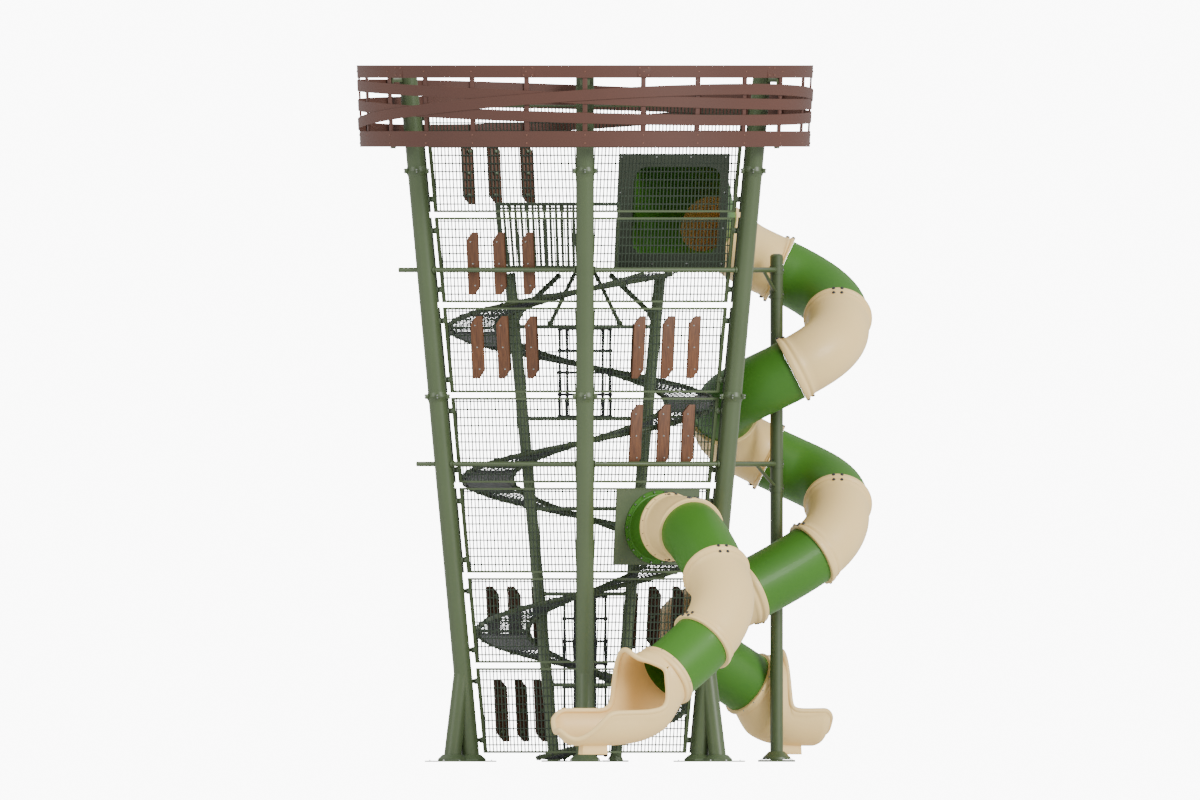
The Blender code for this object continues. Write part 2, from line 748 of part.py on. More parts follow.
# Short slide: out of the front right face, towards the front and round to the left.
DISC_OUT = 0.145
short_mid = polar(post_distance(2.87) * math.cos(math.radians(30)) - PANEL_SETBACK, -60, 0)
short_start = (short_mid + polar(DISC_OUT, -60, 0) + polar(LOWER_HOLE_X, 30, 0)).xy
short_moves = [
    ("straight", 0.62), ("bend", -12),
    ("straight", 0.97),
    ("straight", 0.2), ("bend", -68), ("straight", 0.08),
    ("straight", 0.56),
]
short_at, short_length = plan_points(short_start, -60, short_moves)
short_joints = joint_distances(short_moves, (0, 2, 3, 6, 7))
short_heights = (2.90, 2.84, 2.34, 1.47, 1.08)
short_fall = smooth_fall(short_joints, short_heights)
short_labels = ("bend_1", "tube_1", "bend_2", "tube_2")
hood("short_slide_collar", 270, LOWER_ENTRY, disc_points, LOWER_HOLE_X, short_at, short_fall,
     0.03, 1.09)
for i, label in enumerate(short_labels):
    sandy = label.startswith("bend")
    tube_piece(f"short_slide_{label}", short_at, short_fall, short_joints[i], short_joints[i + 1],
               5 if sandy else 2, sand_plastic if sandy else green_plastic, sandy)


# Exits: a sheet that opens from the full tube to a trough with a turned-up lip, under a hood
# that stays high on one side, on a short moulded foot.
# Each line below gives a value at shares of the exit's length.
EXIT_SHARES = (0, 0.02, 0.07, 0.11, 0.14, 0.165, 0.19, 0.24, 0.30, 0.33, 0.35, 0.375, 0.44, 0.60,
               0.68, 0.77, 0.88, 0.95, 1)
# Edge of the sheet to the left of the floor, in degrees.
EXIT_LEFT = ((0, 121), (0.11, 121), (0.14, 108), (0.165, 94), (0.19, 87), (0.22, 85), (0.28, 88),
             (0.35, 90), (0.45, 93), (0.60, 94), (0.65, 90), (0.69, 76), (0.74, 62), (0.79, 48),
             (0.84, 38), (0.90, 34), (1, 34))
# Edge of the sheet to the right of the floor, in degrees.
EXIT_RIGHT = ((0, 237), (0.11, 237), (0.16, 222), (0.22, 208), (0.28, 196), (0.325, 180),
              (0.345, 155), (0.36, 126), (0.375, 108), (0.41, 100), (0.50, 98), (0.90, 99),
              (0.95, 88), (1, 62))
# How far the hood rises over the round, as a share of the radius.
EXIT_RISE = ((0, 0), (0.03, 0), (0.10, 0.34), (0.20, 0.84), (0.30, 1.06), (0.35, 1.0),
             (0.38, 0.5), (0.44, 0), (1, 0))
# Share of the tube's radius, and lift of the floor in metres.
EXIT_SIZE = ((0, 1), (0.86, 1), (0.93, 0.94), (0.97, 0.84), (1, 0.66))
EXIT_LIFT = ((0, 0), (0.86, 0), (0.93, 0.012), (0.97, 0.045), (1, 0.10))
EXIT_POINTS = 17
EXIT_WALL = 0.02
EXIT_FLOOR = 0.19
EXIT_FALL = 6
EXIT_EASE = (0.18, 0.50)
EXIT_STEPS = 40
FOOT_SIZE = (0.34, 0.14)
FOOT_END = 0.09


def value_at(line, share):
    """Value of a line of (share, value) pairs at a share."""
    near, far = next(pair for pair in zip(line, line[1:]) if share <= pair[1][0])
    return near[1] + (far[1] - near[1]) * (share - near[0]) / (far[0] - near[0])


def exit_path(at, fall, end, length, bend, share):
    """Floor point, heading and slope of an exit at a share of its length."""
    spot, turn = at(end - 0.0001)
    place = spot.copy()
    count = max(int(EXIT_STEPS * share), 1)
    for step in range(count):
        heading = turn + math.radians(bend) * share * (step + 0.5) / count
        place += Vector((math.cos(heading), math.sin(heading))) * (length * share / count)
    drop = fall(end)[0] - TUBE_RADIUS - EXIT_FLOOR
    height = EXIT_FLOOR + drop * (1 - share) ** EXIT_FALL
    slope = -EXIT_FALL * drop * (1 - share) ** (EXIT_FALL - 1) / length
    return Vector((place.x, place.y, height)), turn + math.radians(bend) * share, slope


def exit_piece(name, at, fall, end, length, bend, foot_share):
    """The slide's mouth, turning by bend degrees along its length."""
    shell = bmesh.new()
    rows = []
    for share in EXIT_SHARES:
        floor, heading, slope = exit_path(at, fall, end, length, bend, share)
        size = value_at(EXIT_SIZE, share)
        left_edge = value_at(EXIT_LEFT, share)
        right_edge = value_at(EXIT_RIGHT, share)
        rise = value_at(EXIT_RISE, share)
        centre = floor + Vector((0, 0, TUBE_RADIUS + value_at(EXIT_LIFT, share)))
        start, start_left, start_up = slide_frames(at, fall, end)
        start = start + start_left.cross(start_up) * (GAP + share * length)
        ease = [min(max(share - 0.02, 0) / reach, 1) for reach in EXIT_EASE]
        ease = [value * value * (3 - 2 * value) for value in ease]
        centre = start.lerp(centre, ease[0])
        left = start_left.lerp(Vector((-math.sin(heading), math.cos(heading), 0)), ease[1])
        up = start_up.lerp(Vector((0, 0, 1)), ease[1])
        left.normalize()
        up.normalize()
        radius = TUBE_RADIUS * size
        row = []
        for i in range(EXIT_POINTS):
            swing = math.radians((left_edge + right_edge) * i / (EXIT_POINTS - 1) - right_edge)
            over = max(-math.cos(swing), 0) ** 0.5
            upright = TUBE_RADIUS * max(size, 0.85) * (1 + rise * over)
            row.append(shell.verts.new(centre + left * math.sin(swing) * radius
                                       - up * math.cos(swing) * upright))
        rows.append(row)
    for near, far in zip(rows, rows[1:]):
        for i in range(EXIT_POINTS - 1):
            shell.faces.new((near[i], near[i + 1], far[i + 1], far[i]))
    item = add_object(name, mesh_from(shell, name, smooth=True), sand_plastic)
    wall = item.modifiers.new("wall", "SOLIDIFY")
    wall.thickness = EXIT_WALL
    wall.offset = 0
    wall.use_even_offset = True
    middle, heading, slope = exit_path(at, fall, end, length, bend, foot_share)
    forward = Vector((math.cos(heading), math.sin(heading), 0))
    side = Vector((-math.sin(heading), math.cos(heading), 0))
    base, head = [], []
    for dx, dy in ((-1, -1), (1, -1), (1, 1), (-1, 1)):
        corner = middle + forward * dx * FOOT_SIZE[0] / 2 + side * dy * FOOT_SIZE[1] / 2
        base.append(Vector((corner.x, corner.y, FOOT_END)))
        head.append(corner + Vector((0, 0, slope * dx * FOOT_SIZE[0] / 2)))
    tool = add_object(f"{name}_foot", loop_mesh([base, head]), sand_plastic, cutters)
    tool.hide_render = True
    tool.display_type = "WIRE"
    join = item.modifiers.new("foot", "BOOLEAN")
    join.operation = "UNION"
    join.solver = "EXACT"
    join.object = tool
    return item


exit_piece("long_slide_exit", long_at, long_fall, long_length, 1.06, -10, 0.53)
exit_piece("short_slide_exit", short_at, short_fall, short_length, 1.52, -29, 0.69)


# Mast that carries the spiral, with an arm to the tower at each brace level.
def mast():
    x, y = MAST_PLACE
    parts = [
        rod_mesh((x, y, 0.02), (x, y, MAST_TOP), MAST_RADIUS, 12),
        box_mesh((0.46, 0.46, 0.03), Matrix.Translation((x, y, 0.015))),
        rod_mesh((x, y, 0.02), (x, y, 0.12), 0.19, 10, 0.09),
    ]
    post_angle = 30
    for height in BRACE_HEIGHTS:
        near = polar(post_distance(height), post_angle, height)
        far = Vector((x, y, height))
        along = (near - far).normalized()
        reach = (near - far).length - POST_RADIUS - 0.0031
        parts.append(rod_mesh(far, far + along * reach, 0.035, 8, facing=(0, 0, 1)))
        low = Vector((x, y, height - 0.30))
        knee = far + along * (reach * 0.45)
        parts.append(rod_mesh(low, knee, 0.022, 6))
    return union("slide_mast", parts, steel)


mast()


# Net ramp: a helical floor with a rail on both edges, climbing between core and faces.
def ramp(name, first, last, material):
    """A stretch of the ramp between two turning angles, its sections at the posts' angles."""
    turns = [first] + [angle for angle in range(-120, 1035, RAMP_STEP) if first < angle < last]
    turns.append(last)
    sections = []
    for angle in turns:
        height = RAMP_LEFT_HEIGHT + RAMP_PITCH * (angle - 180) / 360
        rail, floor = RAMP_RAIL, RAMP_FLOOR / 2
        inner = core_distance(height + rail / 2) + CORE_TIP + GAP
        outer = post_distance(height) * 0.866 - RAMP_OUTER_SETBACK
        profile = [(inner, -rail / 2), (inner + rail, -rail / 2), (inner + rail, -floor),
                   (outer - rail, -floor), (outer - rail, -rail / 2), (outer, -rail / 2),
                   (outer, rail / 2), (outer - rail, rail / 2), (outer - rail, floor),
                   (inner + rail, floor), (inner + rail, rail / 2), (inner, rail / 2)]
        sections.append([polar(radius, angle, height + lift) for radius, lift in profile])
    return add_object(name, loop_mesh(sections), material)


RAMP_STOPS = (-120, 240, 600, 360 * 2 + RAMP_END)
for number, (first, last) in enumerate(zip(RAMP_STOPS, RAMP_STOPS[1:]), 1):
    ramp(f"net_ramp_{number}", first + (RAMP_SPLIT if number > 1 else 0), last, netting)


# Crown: two hoops on 24 uprights and three bands that weave round them.
def band_sections(height_at, half_height, offset):
    sections = []
    for step in range(CROWN_FACETS):
        angle = 360 * step / CROWN_FACETS
        middle = height_at(math.radians(angle))
        low, high = middle - half_height, middle + half_height
        corners = []
        for height, depth in ((low, 0), (low, BAND_THICKNESS), (high, BAND_THICKNESS), (high, 0)):
            corners.append(polar(upright_face(height) + UPRIGHT_THICKNESS + offset + depth,
                                 angle, height))
        sections.append(corners)
    return sections


HOOP_SINK = 0.004
TOP_HOOP = (8.504, 0.08)
BOTTOM_HOOP = (7.6725, 0.0985)


def crown_hoop(name, middle, half_height, with_uprights):
    parts = [loop_mesh(band_sections(lambda angle: middle, half_height, -HOOP_SINK), closed=True)]
    if with_uprights:
        for step in range(24):
            angle = 15 * step
            low, high = CROWN_BOTTOM + 0.02, CROWN_BOTTOM + CROWN_HEIGHT - 0.02
            thick, half = UPRIGHT_THICKNESS - 0.0024, UPRIGHT_WIDTH / 2
            side = polar(1, angle + 90, 0)
            foot = [polar(upright_face(low) + depth, angle, low) + side * across
                    for depth, across in ((0, -half), (thick, -half), (thick, half), (0, half))]
            head = [polar(upright_face(high) + depth, angle, high) + side * across
                    for depth, across in ((0, -half), (thick, -half), (thick, half), (0, half))]
            parts.append(loop_mesh([foot, head]))
    return parts


top_parts = crown_hoop("top", *TOP_HOOP, with_uprights=False)
bottom_parts = crown_hoop("bottom", *BOTTOM_HOOP, with_uprights=True)
union("crown_frame", bottom_parts[:1] + top_parts + bottom_parts[1:], rust_steel)


def wave(mean, cosine, sine):
    """A band's height round the crown, from the mean and its two wave parts."""
    return lambda angle: mean + cosine * math.cos(angle) + sine * math.sin(angle)


WOVEN_BANDS = {
    "crown_band_upper": (wave(8.22, -0.111, 0.049), GAP),
    "crown_band_lower": (wave(8.017, -0.074, 0.086), GAP),
    "crown_band_outer": (wave(8.035, 0.178, -0.178), GAP * 2 + BAND_THICKNESS),
}
for name, (height_at, offset) in WOVEN_BANDS.items():
    sections = band_sections(height_at, 0.0675, offset)
    add_object(name, loop_mesh(sections, closed=True), rust_steel)
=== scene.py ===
import math

import bmesh
import bpy
from mathutils import Matrix, Vector


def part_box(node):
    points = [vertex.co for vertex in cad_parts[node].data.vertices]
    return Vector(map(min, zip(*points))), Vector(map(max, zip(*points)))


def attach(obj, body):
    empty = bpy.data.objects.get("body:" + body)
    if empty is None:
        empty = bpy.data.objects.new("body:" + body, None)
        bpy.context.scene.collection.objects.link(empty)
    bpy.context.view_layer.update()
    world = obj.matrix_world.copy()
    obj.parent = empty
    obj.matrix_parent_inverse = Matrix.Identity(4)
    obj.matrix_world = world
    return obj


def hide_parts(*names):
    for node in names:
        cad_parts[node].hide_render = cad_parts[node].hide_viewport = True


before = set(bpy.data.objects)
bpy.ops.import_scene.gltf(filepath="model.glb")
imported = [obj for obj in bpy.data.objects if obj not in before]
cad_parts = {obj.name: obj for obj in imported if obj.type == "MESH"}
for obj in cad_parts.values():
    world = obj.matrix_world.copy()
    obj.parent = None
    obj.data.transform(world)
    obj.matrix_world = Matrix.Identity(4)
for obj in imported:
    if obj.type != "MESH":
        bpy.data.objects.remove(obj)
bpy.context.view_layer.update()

crown_low, crown_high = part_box("crown_frame")
CENTRE = Vector(((crown_low.x + crown_high.x) / 2, (crown_low.y + crown_high.y) / 2, 0))

# The view: a long lens at mid height, straight at the front corner post, level with the
# ground, on a pale floor under soft studio light from both sides.
VIEW_WIDTH = 14.78
VIEW_SIDE = 0.185
VIEW_HEIGHT = 4.458

camera_data = bpy.data.cameras.new("camera")
camera_data.type = "ORTHO"
camera_data.ortho_scale = VIEW_WIDTH
camera_data.clip_end = 200
camera = bpy.data.objects.new("camera", camera_data)
camera.location = CENTRE + Vector((VIEW_SIDE, -30, VIEW_HEIGHT))
camera.rotation_euler = (math.radians(90), 0, 0)
bpy.context.scene.collection.objects.link(camera)
bpy.context.scene.camera = camera

floor_data = bpy.data.meshes.new("floor")
floor_data.from_pydata([(-60, -60, -0.002), (60, -60, -0.002), (60, 60, -0.002), (-60, 60, -0.002)],
                       [], [(0, 1, 2, 3)])
floor = bpy.data.objects.new("floor", floor_data)
bpy.context.scene.collection.objects.link(floor)
floor_finish = bpy.data.materials.new("pale_floor")
floor_finish.use_nodes = True
floor_shader = floor_finish.node_tree.nodes["Principled BSDF"]
floor_shader.inputs["Base Color"].default_value = (0.9, 0.9, 0.9, 1)
floor_shader.inputs["Roughness"].default_value = 0.9
floor_data.materials.append(floor_finish)

world = bpy.data.worlds.new("studio")
bpy.context.scene.world = world
world.use_nodes = True
sky = world.node_tree
seen = sky.nodes.new("ShaderNodeBackground")
seen.inputs["Color"].default_value = (1, 1, 1, 1)
seen.inputs["Strength"].default_value = 10.0
lit = sky.nodes["Background"]
lit.inputs["Color"].default_value = (1, 1, 1, 1)
lit.inputs["Strength"].default_value = 0.86
rays = sky.nodes.new("ShaderNodeLightPath")
blend_sky = sky.nodes.new("ShaderNodeMixShader")
sky.links.new(rays.outputs["Is Camera Ray"], blend_sky.inputs[0])
sky.links.new(lit.outputs[0], blend_sky.inputs[1])
sky.links.new(seen.outputs[0], blend_sky.inputs[2])
sky.links.new(blend_sky.outputs[0], sky.nodes["World Output"].inputs[0])

for label, strength, size, turn in (("key", 2.7, 24, (66, 0, 46)), ("fill", 1.0, 30, (62, 0, -50))):
    lamp_data = bpy.data.lights.new(label, "SUN")
    lamp_data.energy = strength
    lamp_data.angle = math.radians(size)
    lamp = bpy.data.objects.new(label, lamp_data)
    lamp.rotation_euler = [math.radians(angle) for angle in turn]
    bpy.context.scene.collection.objects.link(lamp)


# Outer posts: 224 mm steel pipe in olive powder coat, each welded to a raking strut and
# a base plate, bolted at two flanged joints, with the crown's arms at the top.
POST_RADIUS = 0.112
POST_FOOT = 1.623
LEAN = 0.106
POST_TOP = 8.47
POST_ANGLES = {"back_right": 30, "back": 90, "back_left": 150, "front_left": 210,
               "front": 270, "front_right": 330}
COS30 = math.cos(math.radians(30))


def polar(radius, angle, height):
    """A point round the tower's axis."""
    turn = math.radians(angle)
    return CENTRE + Vector((radius * math.cos(turn), radius * math.sin(turn), height))


def outward(angle):
    return polar(1, angle, 0) - CENTRE


def post_distance(height):
    return POST_FOOT + LEAN * height


def post_axis(angle, height):
    return polar(post_distance(height), angle, height)


def upright_frame(start, end, facing=(0.3, 0.2, 1)):
    """Turns local Z along a line, with local X on the facing side."""
    along = (end - start).normalized()
    across = along.cross(Vector(facing)).normalized()
    turn = Matrix((across.cross(along), across, along)).transposed().to_4x4()
    turn.translation = start
    return turn


def rod(shape, start, end, radius, sides=32, end_radius=None, facing=(0.31, 0.17, 1)):
    """Adds a capped cylinder or cone between two points to a mesh in the making."""
    start, end = Vector(start), Vector(end)
    length = (end - start).length
    place = upright_frame(start, end, facing) @ Matrix.Translation((0, 0, length / 2))
    made = bmesh.ops.create_cone(shape, cap_ends=True, segments=sides, radius1=radius,
                                 radius2=radius if end_radius is None else end_radius,
                                 depth=length, matrix=place)
    return made["verts"]


def block(shape, size, place, bevel=0.003):
    """Adds a box with softened edges."""
    made = bmesh.ops.create_cube(shape, size=1, matrix=place @ Matrix.Diagonal((*size, 1)))
    edges = {edge for vert in made["verts"] for edge in vert.link_edges}
    bmesh.ops.bevel(shape, geom=list(edges), offset=bevel, segments=2, profile=0.5,
                    affect="EDGES", clamp_overlap=True)


def piece(name, shape, material, angle=35):
    """Closes a mesh in the making: one smooth-shaded object that rides on the tower."""
    bmesh.ops.recalc_face_normals(shape, faces=shape.faces)
    mesh = bpy.data.meshes.new(name)
    shape.to_mesh(mesh)
    shape.free()
    mesh.shade_smooth()
    mesh.set_sharp_from_angle(angle=math.radians(angle))
    mesh.materials.append(material)
    item = bpy.data.objects.new(name, mesh)
    bpy.context.scene.collection.objects.link(item)
    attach(item, "root")
    return item


def radial_frame(radius, angle, height):
    return Matrix.Translation(polar(radius, angle, height)) @ Matrix.Rotation(
        math.radians(angle), 4, "Z")


def coat(name, colour, shadow, roughness, grain=60, bump=0.05, patch=1.4, spread=0.35):
    """A coated surface: slow patches of tone and gloss, fine grain in tone and height."""
    material = bpy.data.materials.new(name)
    material.use_nodes = True
    tree = material.node_tree
    shader = tree.nodes["Principled BSDF"]
    coords = tree.nodes.new("ShaderNodeTexCoord")
    slow = tree.nodes.new("ShaderNodeTexNoise")
    slow.inputs["Scale"].default_value = patch
    slow.inputs["Detail"].default_value = 5
    fine = tree.nodes.new("ShaderNodeTexNoise")
    fine.inputs["Scale"].default_value = grain
    fine.inputs["Detail"].default_value = 3
    for texture in (slow, fine):
        tree.links.new(coords.outputs["Object"], texture.inputs["Vector"])
    tone = tree.nodes.new("ShaderNodeValToRGB")
    tone.color_ramp.elements[0].position = 0.5 - spread
    tone.color_ramp.elements[0].color = (*shadow, 1)
    tone.color_ramp.elements[1].position = 0.5 + spread * 0.6
    tone.color_ramp.elements[1].color = (*colour, 1)
    mixed = tree.nodes.new("ShaderNodeMath")
    mixed.operation = "MULTIPLY_ADD"
    mixed.inputs[1].default_value = 0.25
    tree.links.new(fine.outputs["Fac"], mixed.inputs[0])
    scaled = tree.nodes.new("ShaderNodeMath")
    scaled.operation = "MULTIPLY"
    scaled.inputs[1].default_value = 0.75
    tree.links.new(slow.outputs["Fac"], scaled.inputs[0])
    tree.links.new(scaled.outputs[0], mixed.inputs[2])
    tree.links.new(mixed.outputs[0], tone.inputs["Fac"])
    tree.links.new(tone.outputs["Color"], shader.inputs["Base Color"])
    gloss = tree.nodes.new("ShaderNodeMapRange")
    gloss.inputs["To Min"].default_value = roughness - 0.07
    gloss.inputs["To Max"].default_value = roughness + 0.1
    tree.links.new(slow.outputs["Fac"], gloss.inputs["Value"])
    tree.links.new(gloss.outputs["Result"], shader.inputs["Roughness"])
    relief = tree.nodes.new("ShaderNodeBump")
    relief.inputs["Strength"].default_value = bump
    relief.inputs["Distance"].default_value = 0.004
    tree.links.new(fine.outputs["Fac"], relief.inputs["Height"])
    tree.links.new(relief.outputs["Normal"], shader.inputs["Normal"])
    return material


post_paint = coat("post_paint", (0.074, 0.106, 0.044), (0.060, 0.088, 0.035), 0.38)
dark_paint = coat("dark_paint", (0.078, 0.112, 0.052), (0.060, 0.088, 0.040), 0.44)

FOOT_SPREAD = 0.27
STRUT_RADIUS = 0.105
PLATE_SIZE = (0.78, 0.42, 0.03)
SHOE_HEIGHT = 0.075
JOINTS = (4.50, 7.28)
COLLAR_RADIUS = 0.145
BRACES = (3.67, 6.06)
CROWN_ARMS = (7.62, 8.40)


def upright_face(height):
    """Inner face radius of the crown's uprights."""
    return 2.735 + 0.042 * (height - 7.574) / 1.01


def leg_shoe(shape, foot, radius):
    """A flared eight-sided shoe where a leg meets its plate."""
    base = foot.copy()
    base.z = 0.016
    for low, high, near, far in ((0, 0.022, 1.74, 1.72), (0.022, SHOE_HEIGHT, 1.72, 1.16)):
        rod(shape, base + Vector((0, 0, low)), base + Vector((0, 0, high)), radius * near, 8,
            radius * far)


shoes = bmesh.new()
for label, angle in POST_ANGLES.items():
    shape = bmesh.new()
    strut_foot = polar(post_distance(0) + FOOT_SPREAD, angle, 0.02)
    rod(shape, post_axis(angle, 0.02), post_axis(angle, POST_TOP), POST_RADIUS, 48)
    rod(shape, strut_foot, post_axis(angle, 1.12), STRUT_RADIUS, 36)
    block(shape, (PLATE_SIZE[0], PLATE_SIZE[1], 0.016), radial_frame(1.768, angle, 0.009), 0.003)
    leg_shoe(shoes, post_axis(angle, 0.02), POST_RADIUS)
    leg_shoe(shoes, strut_foot, STRUT_RADIUS)
    for height in JOINTS:
        for low, high, wide, tall in ((-0.060, -0.012, 0.116, 0.134), (-0.012, -0.001, 0.144, 0.145),
                                      (0.001, 0.012, 0.145, 0.144), (0.012, 0.060, 0.134, 0.116)):
            rod(shape, post_axis(angle, height + low), post_axis(angle, height + high), wide, 12,
                tall, facing=outward(angle + 15))
        for step in range(6):
            side = radial_frame(0, angle + 60 * step, 0).to_3x3().to_4x4()
            ear = Matrix.Translation(post_axis(angle, height)) @ side
            block(shape, (0.044, 0.036, 0.062), ear @ Matrix.Translation((0.148, 0, 0)), 0.008)
    for height in CROWN_ARMS:
        near = post_distance(height)
        far = upright_face(height - 0.03) - 0.001
        block(shape, (far - near, 0.07, 0.055), radial_frame((near + far) / 2, angle, height))
        block(shape, (0.012, 0.12, 0.13), radial_frame(far - 0.007, angle, height))
    rod(shape, post_axis(angle, POST_TOP), post_axis(angle, POST_TOP + 0.012), POST_RADIUS, 48,
        POST_RADIUS * 0.93)
    for height in BRACES:
        near, far = post_axis(angle, height), post_axis(angle + 60, height)
        along = (far - near).normalized()
        rod(shape, near, far - along * (POST_RADIUS + 0.004), 0.0305, 24)
        if label == "front_left":
            rod(shape, near, near + outward(180) * 0.33 + outward(90) * 0.10, 0.03, 24)
        for run in (0.118, (far - near).length - 0.140):
            rod(shape, near + along * run, near + along * (run + 0.022), 0.044, 20)
    item = piece(f"post_{label}", shape, post_paint)
    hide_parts(f"outer_post_{label}")
piece("post_shoes", shoes, dark_paint)


# Bolts of the posts: galvanised heads round both flanged joints and through the plates,
# one small domed head set again and again.
def geometry_tree(name, sockets):
    """An empty geometry tree with its named inputs."""
    tree = bpy.data.node_groups.new(name, "GeometryNodeTree")
    tree.interface.new_socket("Geometry", in_out="INPUT", socket_type="NodeSocketGeometry")
    for label, kind in sockets:
        tree.interface.new_socket(label, in_out="INPUT", socket_type=kind)
    tree.interface.new_socket("Geometry", in_out="OUTPUT", socket_type="NodeSocketGeometry")
    return tree, tree.nodes.new("NodeGroupInput"), tree.nodes.new("NodeGroupOutput")


def applied(name, mesh, tree, values):
    """Runs a geometry tree over a mesh and keeps the result as a plain mesh piece."""
    source = bpy.data.objects.new(name, mesh)
    bpy.context.scene.collection.objects.link(source)
    modifier = source.modifiers.new("build", "NODES")
    modifier.node_group = tree
    for socket in tree.interface.items_tree:
        if socket.in_out == "INPUT" and socket.name in values:
            modifier[socket.identifier] = values[socket.name]
    depsgraph = bpy.context.evaluated_depsgraph_get()
    result = bpy.data.meshes.new_from_object(source.evaluated_get(depsgraph))
    source.modifiers.clear()
    source.data = result
    result.name = name
    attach(source, "root")
    return source


def bolt_tree():
    """One domed head on every point, turned to the point's own axis."""
    tree, start, end = geometry_tree("bolt_heads", (("Head Radius", "NodeSocketFloat"),
                                                    ("Head Height", "NodeSocketFloat"),
                                                    ("Finish", "NodeSocketMaterial")))
    head = tree.nodes.new("GeometryNodeMeshCone")
    head.inputs["Vertices"].default_value = 8
    narrow = tree.nodes.new("ShaderNodeMath")
    narrow.operation = "MULTIPLY"
    narrow.inputs[1].default_value = 0.66
    tree.links.new(start.outputs["Head Radius"], narrow.inputs[0])
    tree.links.new(narrow.outputs[0], head.inputs["Radius Top"])
    tree.links.new(start.outputs["Head Radius"], head.inputs["Radius Bottom"])
    tree.links.new(start.outputs["Head Height"], head.inputs["Depth"])
    axis = tree.nodes.new("GeometryNodeInputNamedAttribute")
    axis.data_type = "FLOAT_VECTOR"
    axis.inputs["Name"].default_value = "axis"
    turn = tree.nodes.new("FunctionNodeAlignRotationToVector")
    turn.axis = "Z"
    tree.links.new(axis.outputs["Attribute"], turn.inputs["Vector"])
    place = tree.nodes.new("GeometryNodeInstanceOnPoints")
    tree.links.new(start.outputs["Geometry"], place.inputs["Points"])
    tree.links.new(head.outputs["Mesh"], place.inputs["Instance"])
    tree.links.new(turn.outputs["Rotation"], place.inputs["Rotation"])
    real = tree.nodes.new("GeometryNodeRealizeInstances")
    finish = tree.nodes.new("GeometryNodeSetMaterial")
    tree.links.new(place.outputs["Instances"], real.inputs["Geometry"])
    tree.links.new(real.outputs["Geometry"], finish.inputs["Geometry"])
    tree.links.new(start.outputs["Finish"], finish.inputs["Material"])
    tree.links.new(finish.outputs["Geometry"], end.inputs["Geometry"])
    return tree


bolt_heads = bolt_tree()


def bolts(name, places, radius, height, material):
    """Bolt heads at a list of (point, axis) places."""
    mesh = bpy.data.meshes.new(name)
    mesh.from_pydata([point for point, axis in places], [], [])
    axes = mesh.attributes.new("axis", "FLOAT_VECTOR", "POINT")
    for number, (point, axis) in enumerate(places):
        axes.data[number].vector = axis
    values = {"Head Radius": radius, "Head Height": height, "Finish": material}
    return applied(name, mesh, bolt_heads, values)


zinc = coat("zinc_bolt", (0.42, 0.44, 0.42), (0.30, 0.31, 0.30), 0.35, grain=140, bump=0.03)
zinc.node_tree.nodes["Principled BSDF"].inputs["Metallic"].default_value = 0.9

post_bolts = []
for angle in POST_ANGLES.values():
    for height in JOINTS:
        for step in range(6):
            side = outward(angle + 60 * step)
            for shift in (-0.015, 0.015):
                post_bolts.append((post_axis(angle, height + shift) + side * 0.171, side))
    plate = radial_frame(1.768, angle, 0.018)
    for dx in (-0.34, -0.115, 0.115, 0.34):
        for dy in (-0.17, 0.17):
            post_bolts.append((plate @ Vector((dx, dy, 0)), Vector((0, 0, 1))))
bolts("post_bolts", post_bolts, 0.011, 0.010, zinc)

# Mesh panels: seven to a face, each a welded frame of flat bar with a grid of wires,
# hung between two posts on clamps, the slide entries cut out of two faces.
FACES = {"back_right": 30, "back_left": 90, "left": 150, "front_left": 210,
         "front_right": 270, "right": 330}
PANEL_FIRST = 0.10
PANEL_PITCH = 1.11
PANEL_HEIGHT = 1.045
PANEL_TOP = 8.08
PANEL_SETBACK = 0.12
PANEL_SIDE = 0.13
STILE = 0.042
RAIL = 0.024
FRAME_DEPTH = 0.026
WIRE_RADIUS = 0.0074
WIRE_STEPS = (0.05, 0.1)
SLOPE = math.hypot(1, LEAN * COS30)
UPPER_ENTRY = (-0.14, 0.78, 6.08, 7.48)
LOWER_ENTRY = (0.12, 0.59, 2.42, 3.345)
ENTRIES = {"back_right": UPPER_ENTRY, "front_right": LOWER_ENTRY}
PANELS = [(PANEL_FIRST + PANEL_PITCH * i, PANEL_FIRST + PANEL_PITCH * i + PANEL_HEIGHT)
          for i in range(6)] + [(PANEL_FIRST + PANEL_PITCH * 6, PANEL_TOP)]


def face_frame(angle):
    """X along the face, Y up its slope, Z outwards, from the ground line of the mesh plane."""
    middle = outward(angle + 30)
    along = Vector((0, 0, 1)).cross(middle).normalized()
    up = (middle * LEAN * COS30 + Vector((0, 0, 1))).normalized()
    out = along.cross(up)
    place = Matrix((along, up, out)).transposed().to_4x4()
    place.translation = CENTRE + middle * POST_FOOT * COS30 - out * PANEL_SETBACK
    return place


def half_width(height):
    return post_distance(height) / 2 - PANEL_SIDE


def outline_bar(shape, place, outer, inner, depth):
    """A flat frame between two outlines of equal point count."""
    rings = []
    for points, lift in ((outer, depth / 2), (inner, depth / 2), (inner, -depth / 2),
                         (outer, -depth / 2)):
        rings.append([shape.verts.new(place @ Vector((x, y * SLOPE, lift))) for x, y in points])
    for near, far in zip(rings, rings[1:] + rings[:1]):
        for i in range(len(near)):
            j = (i + 1) % len(near)
            shape.faces.new((near[i], near[j], far[j], far[i]))


def panel_outline(low, high, inset, rail):
    return [(inset - half_width(low), low + rail), (half_width(low) - inset, low + rail),
            (half_width(high) - inset, high - rail), (inset - half_width(high), high - rail)]


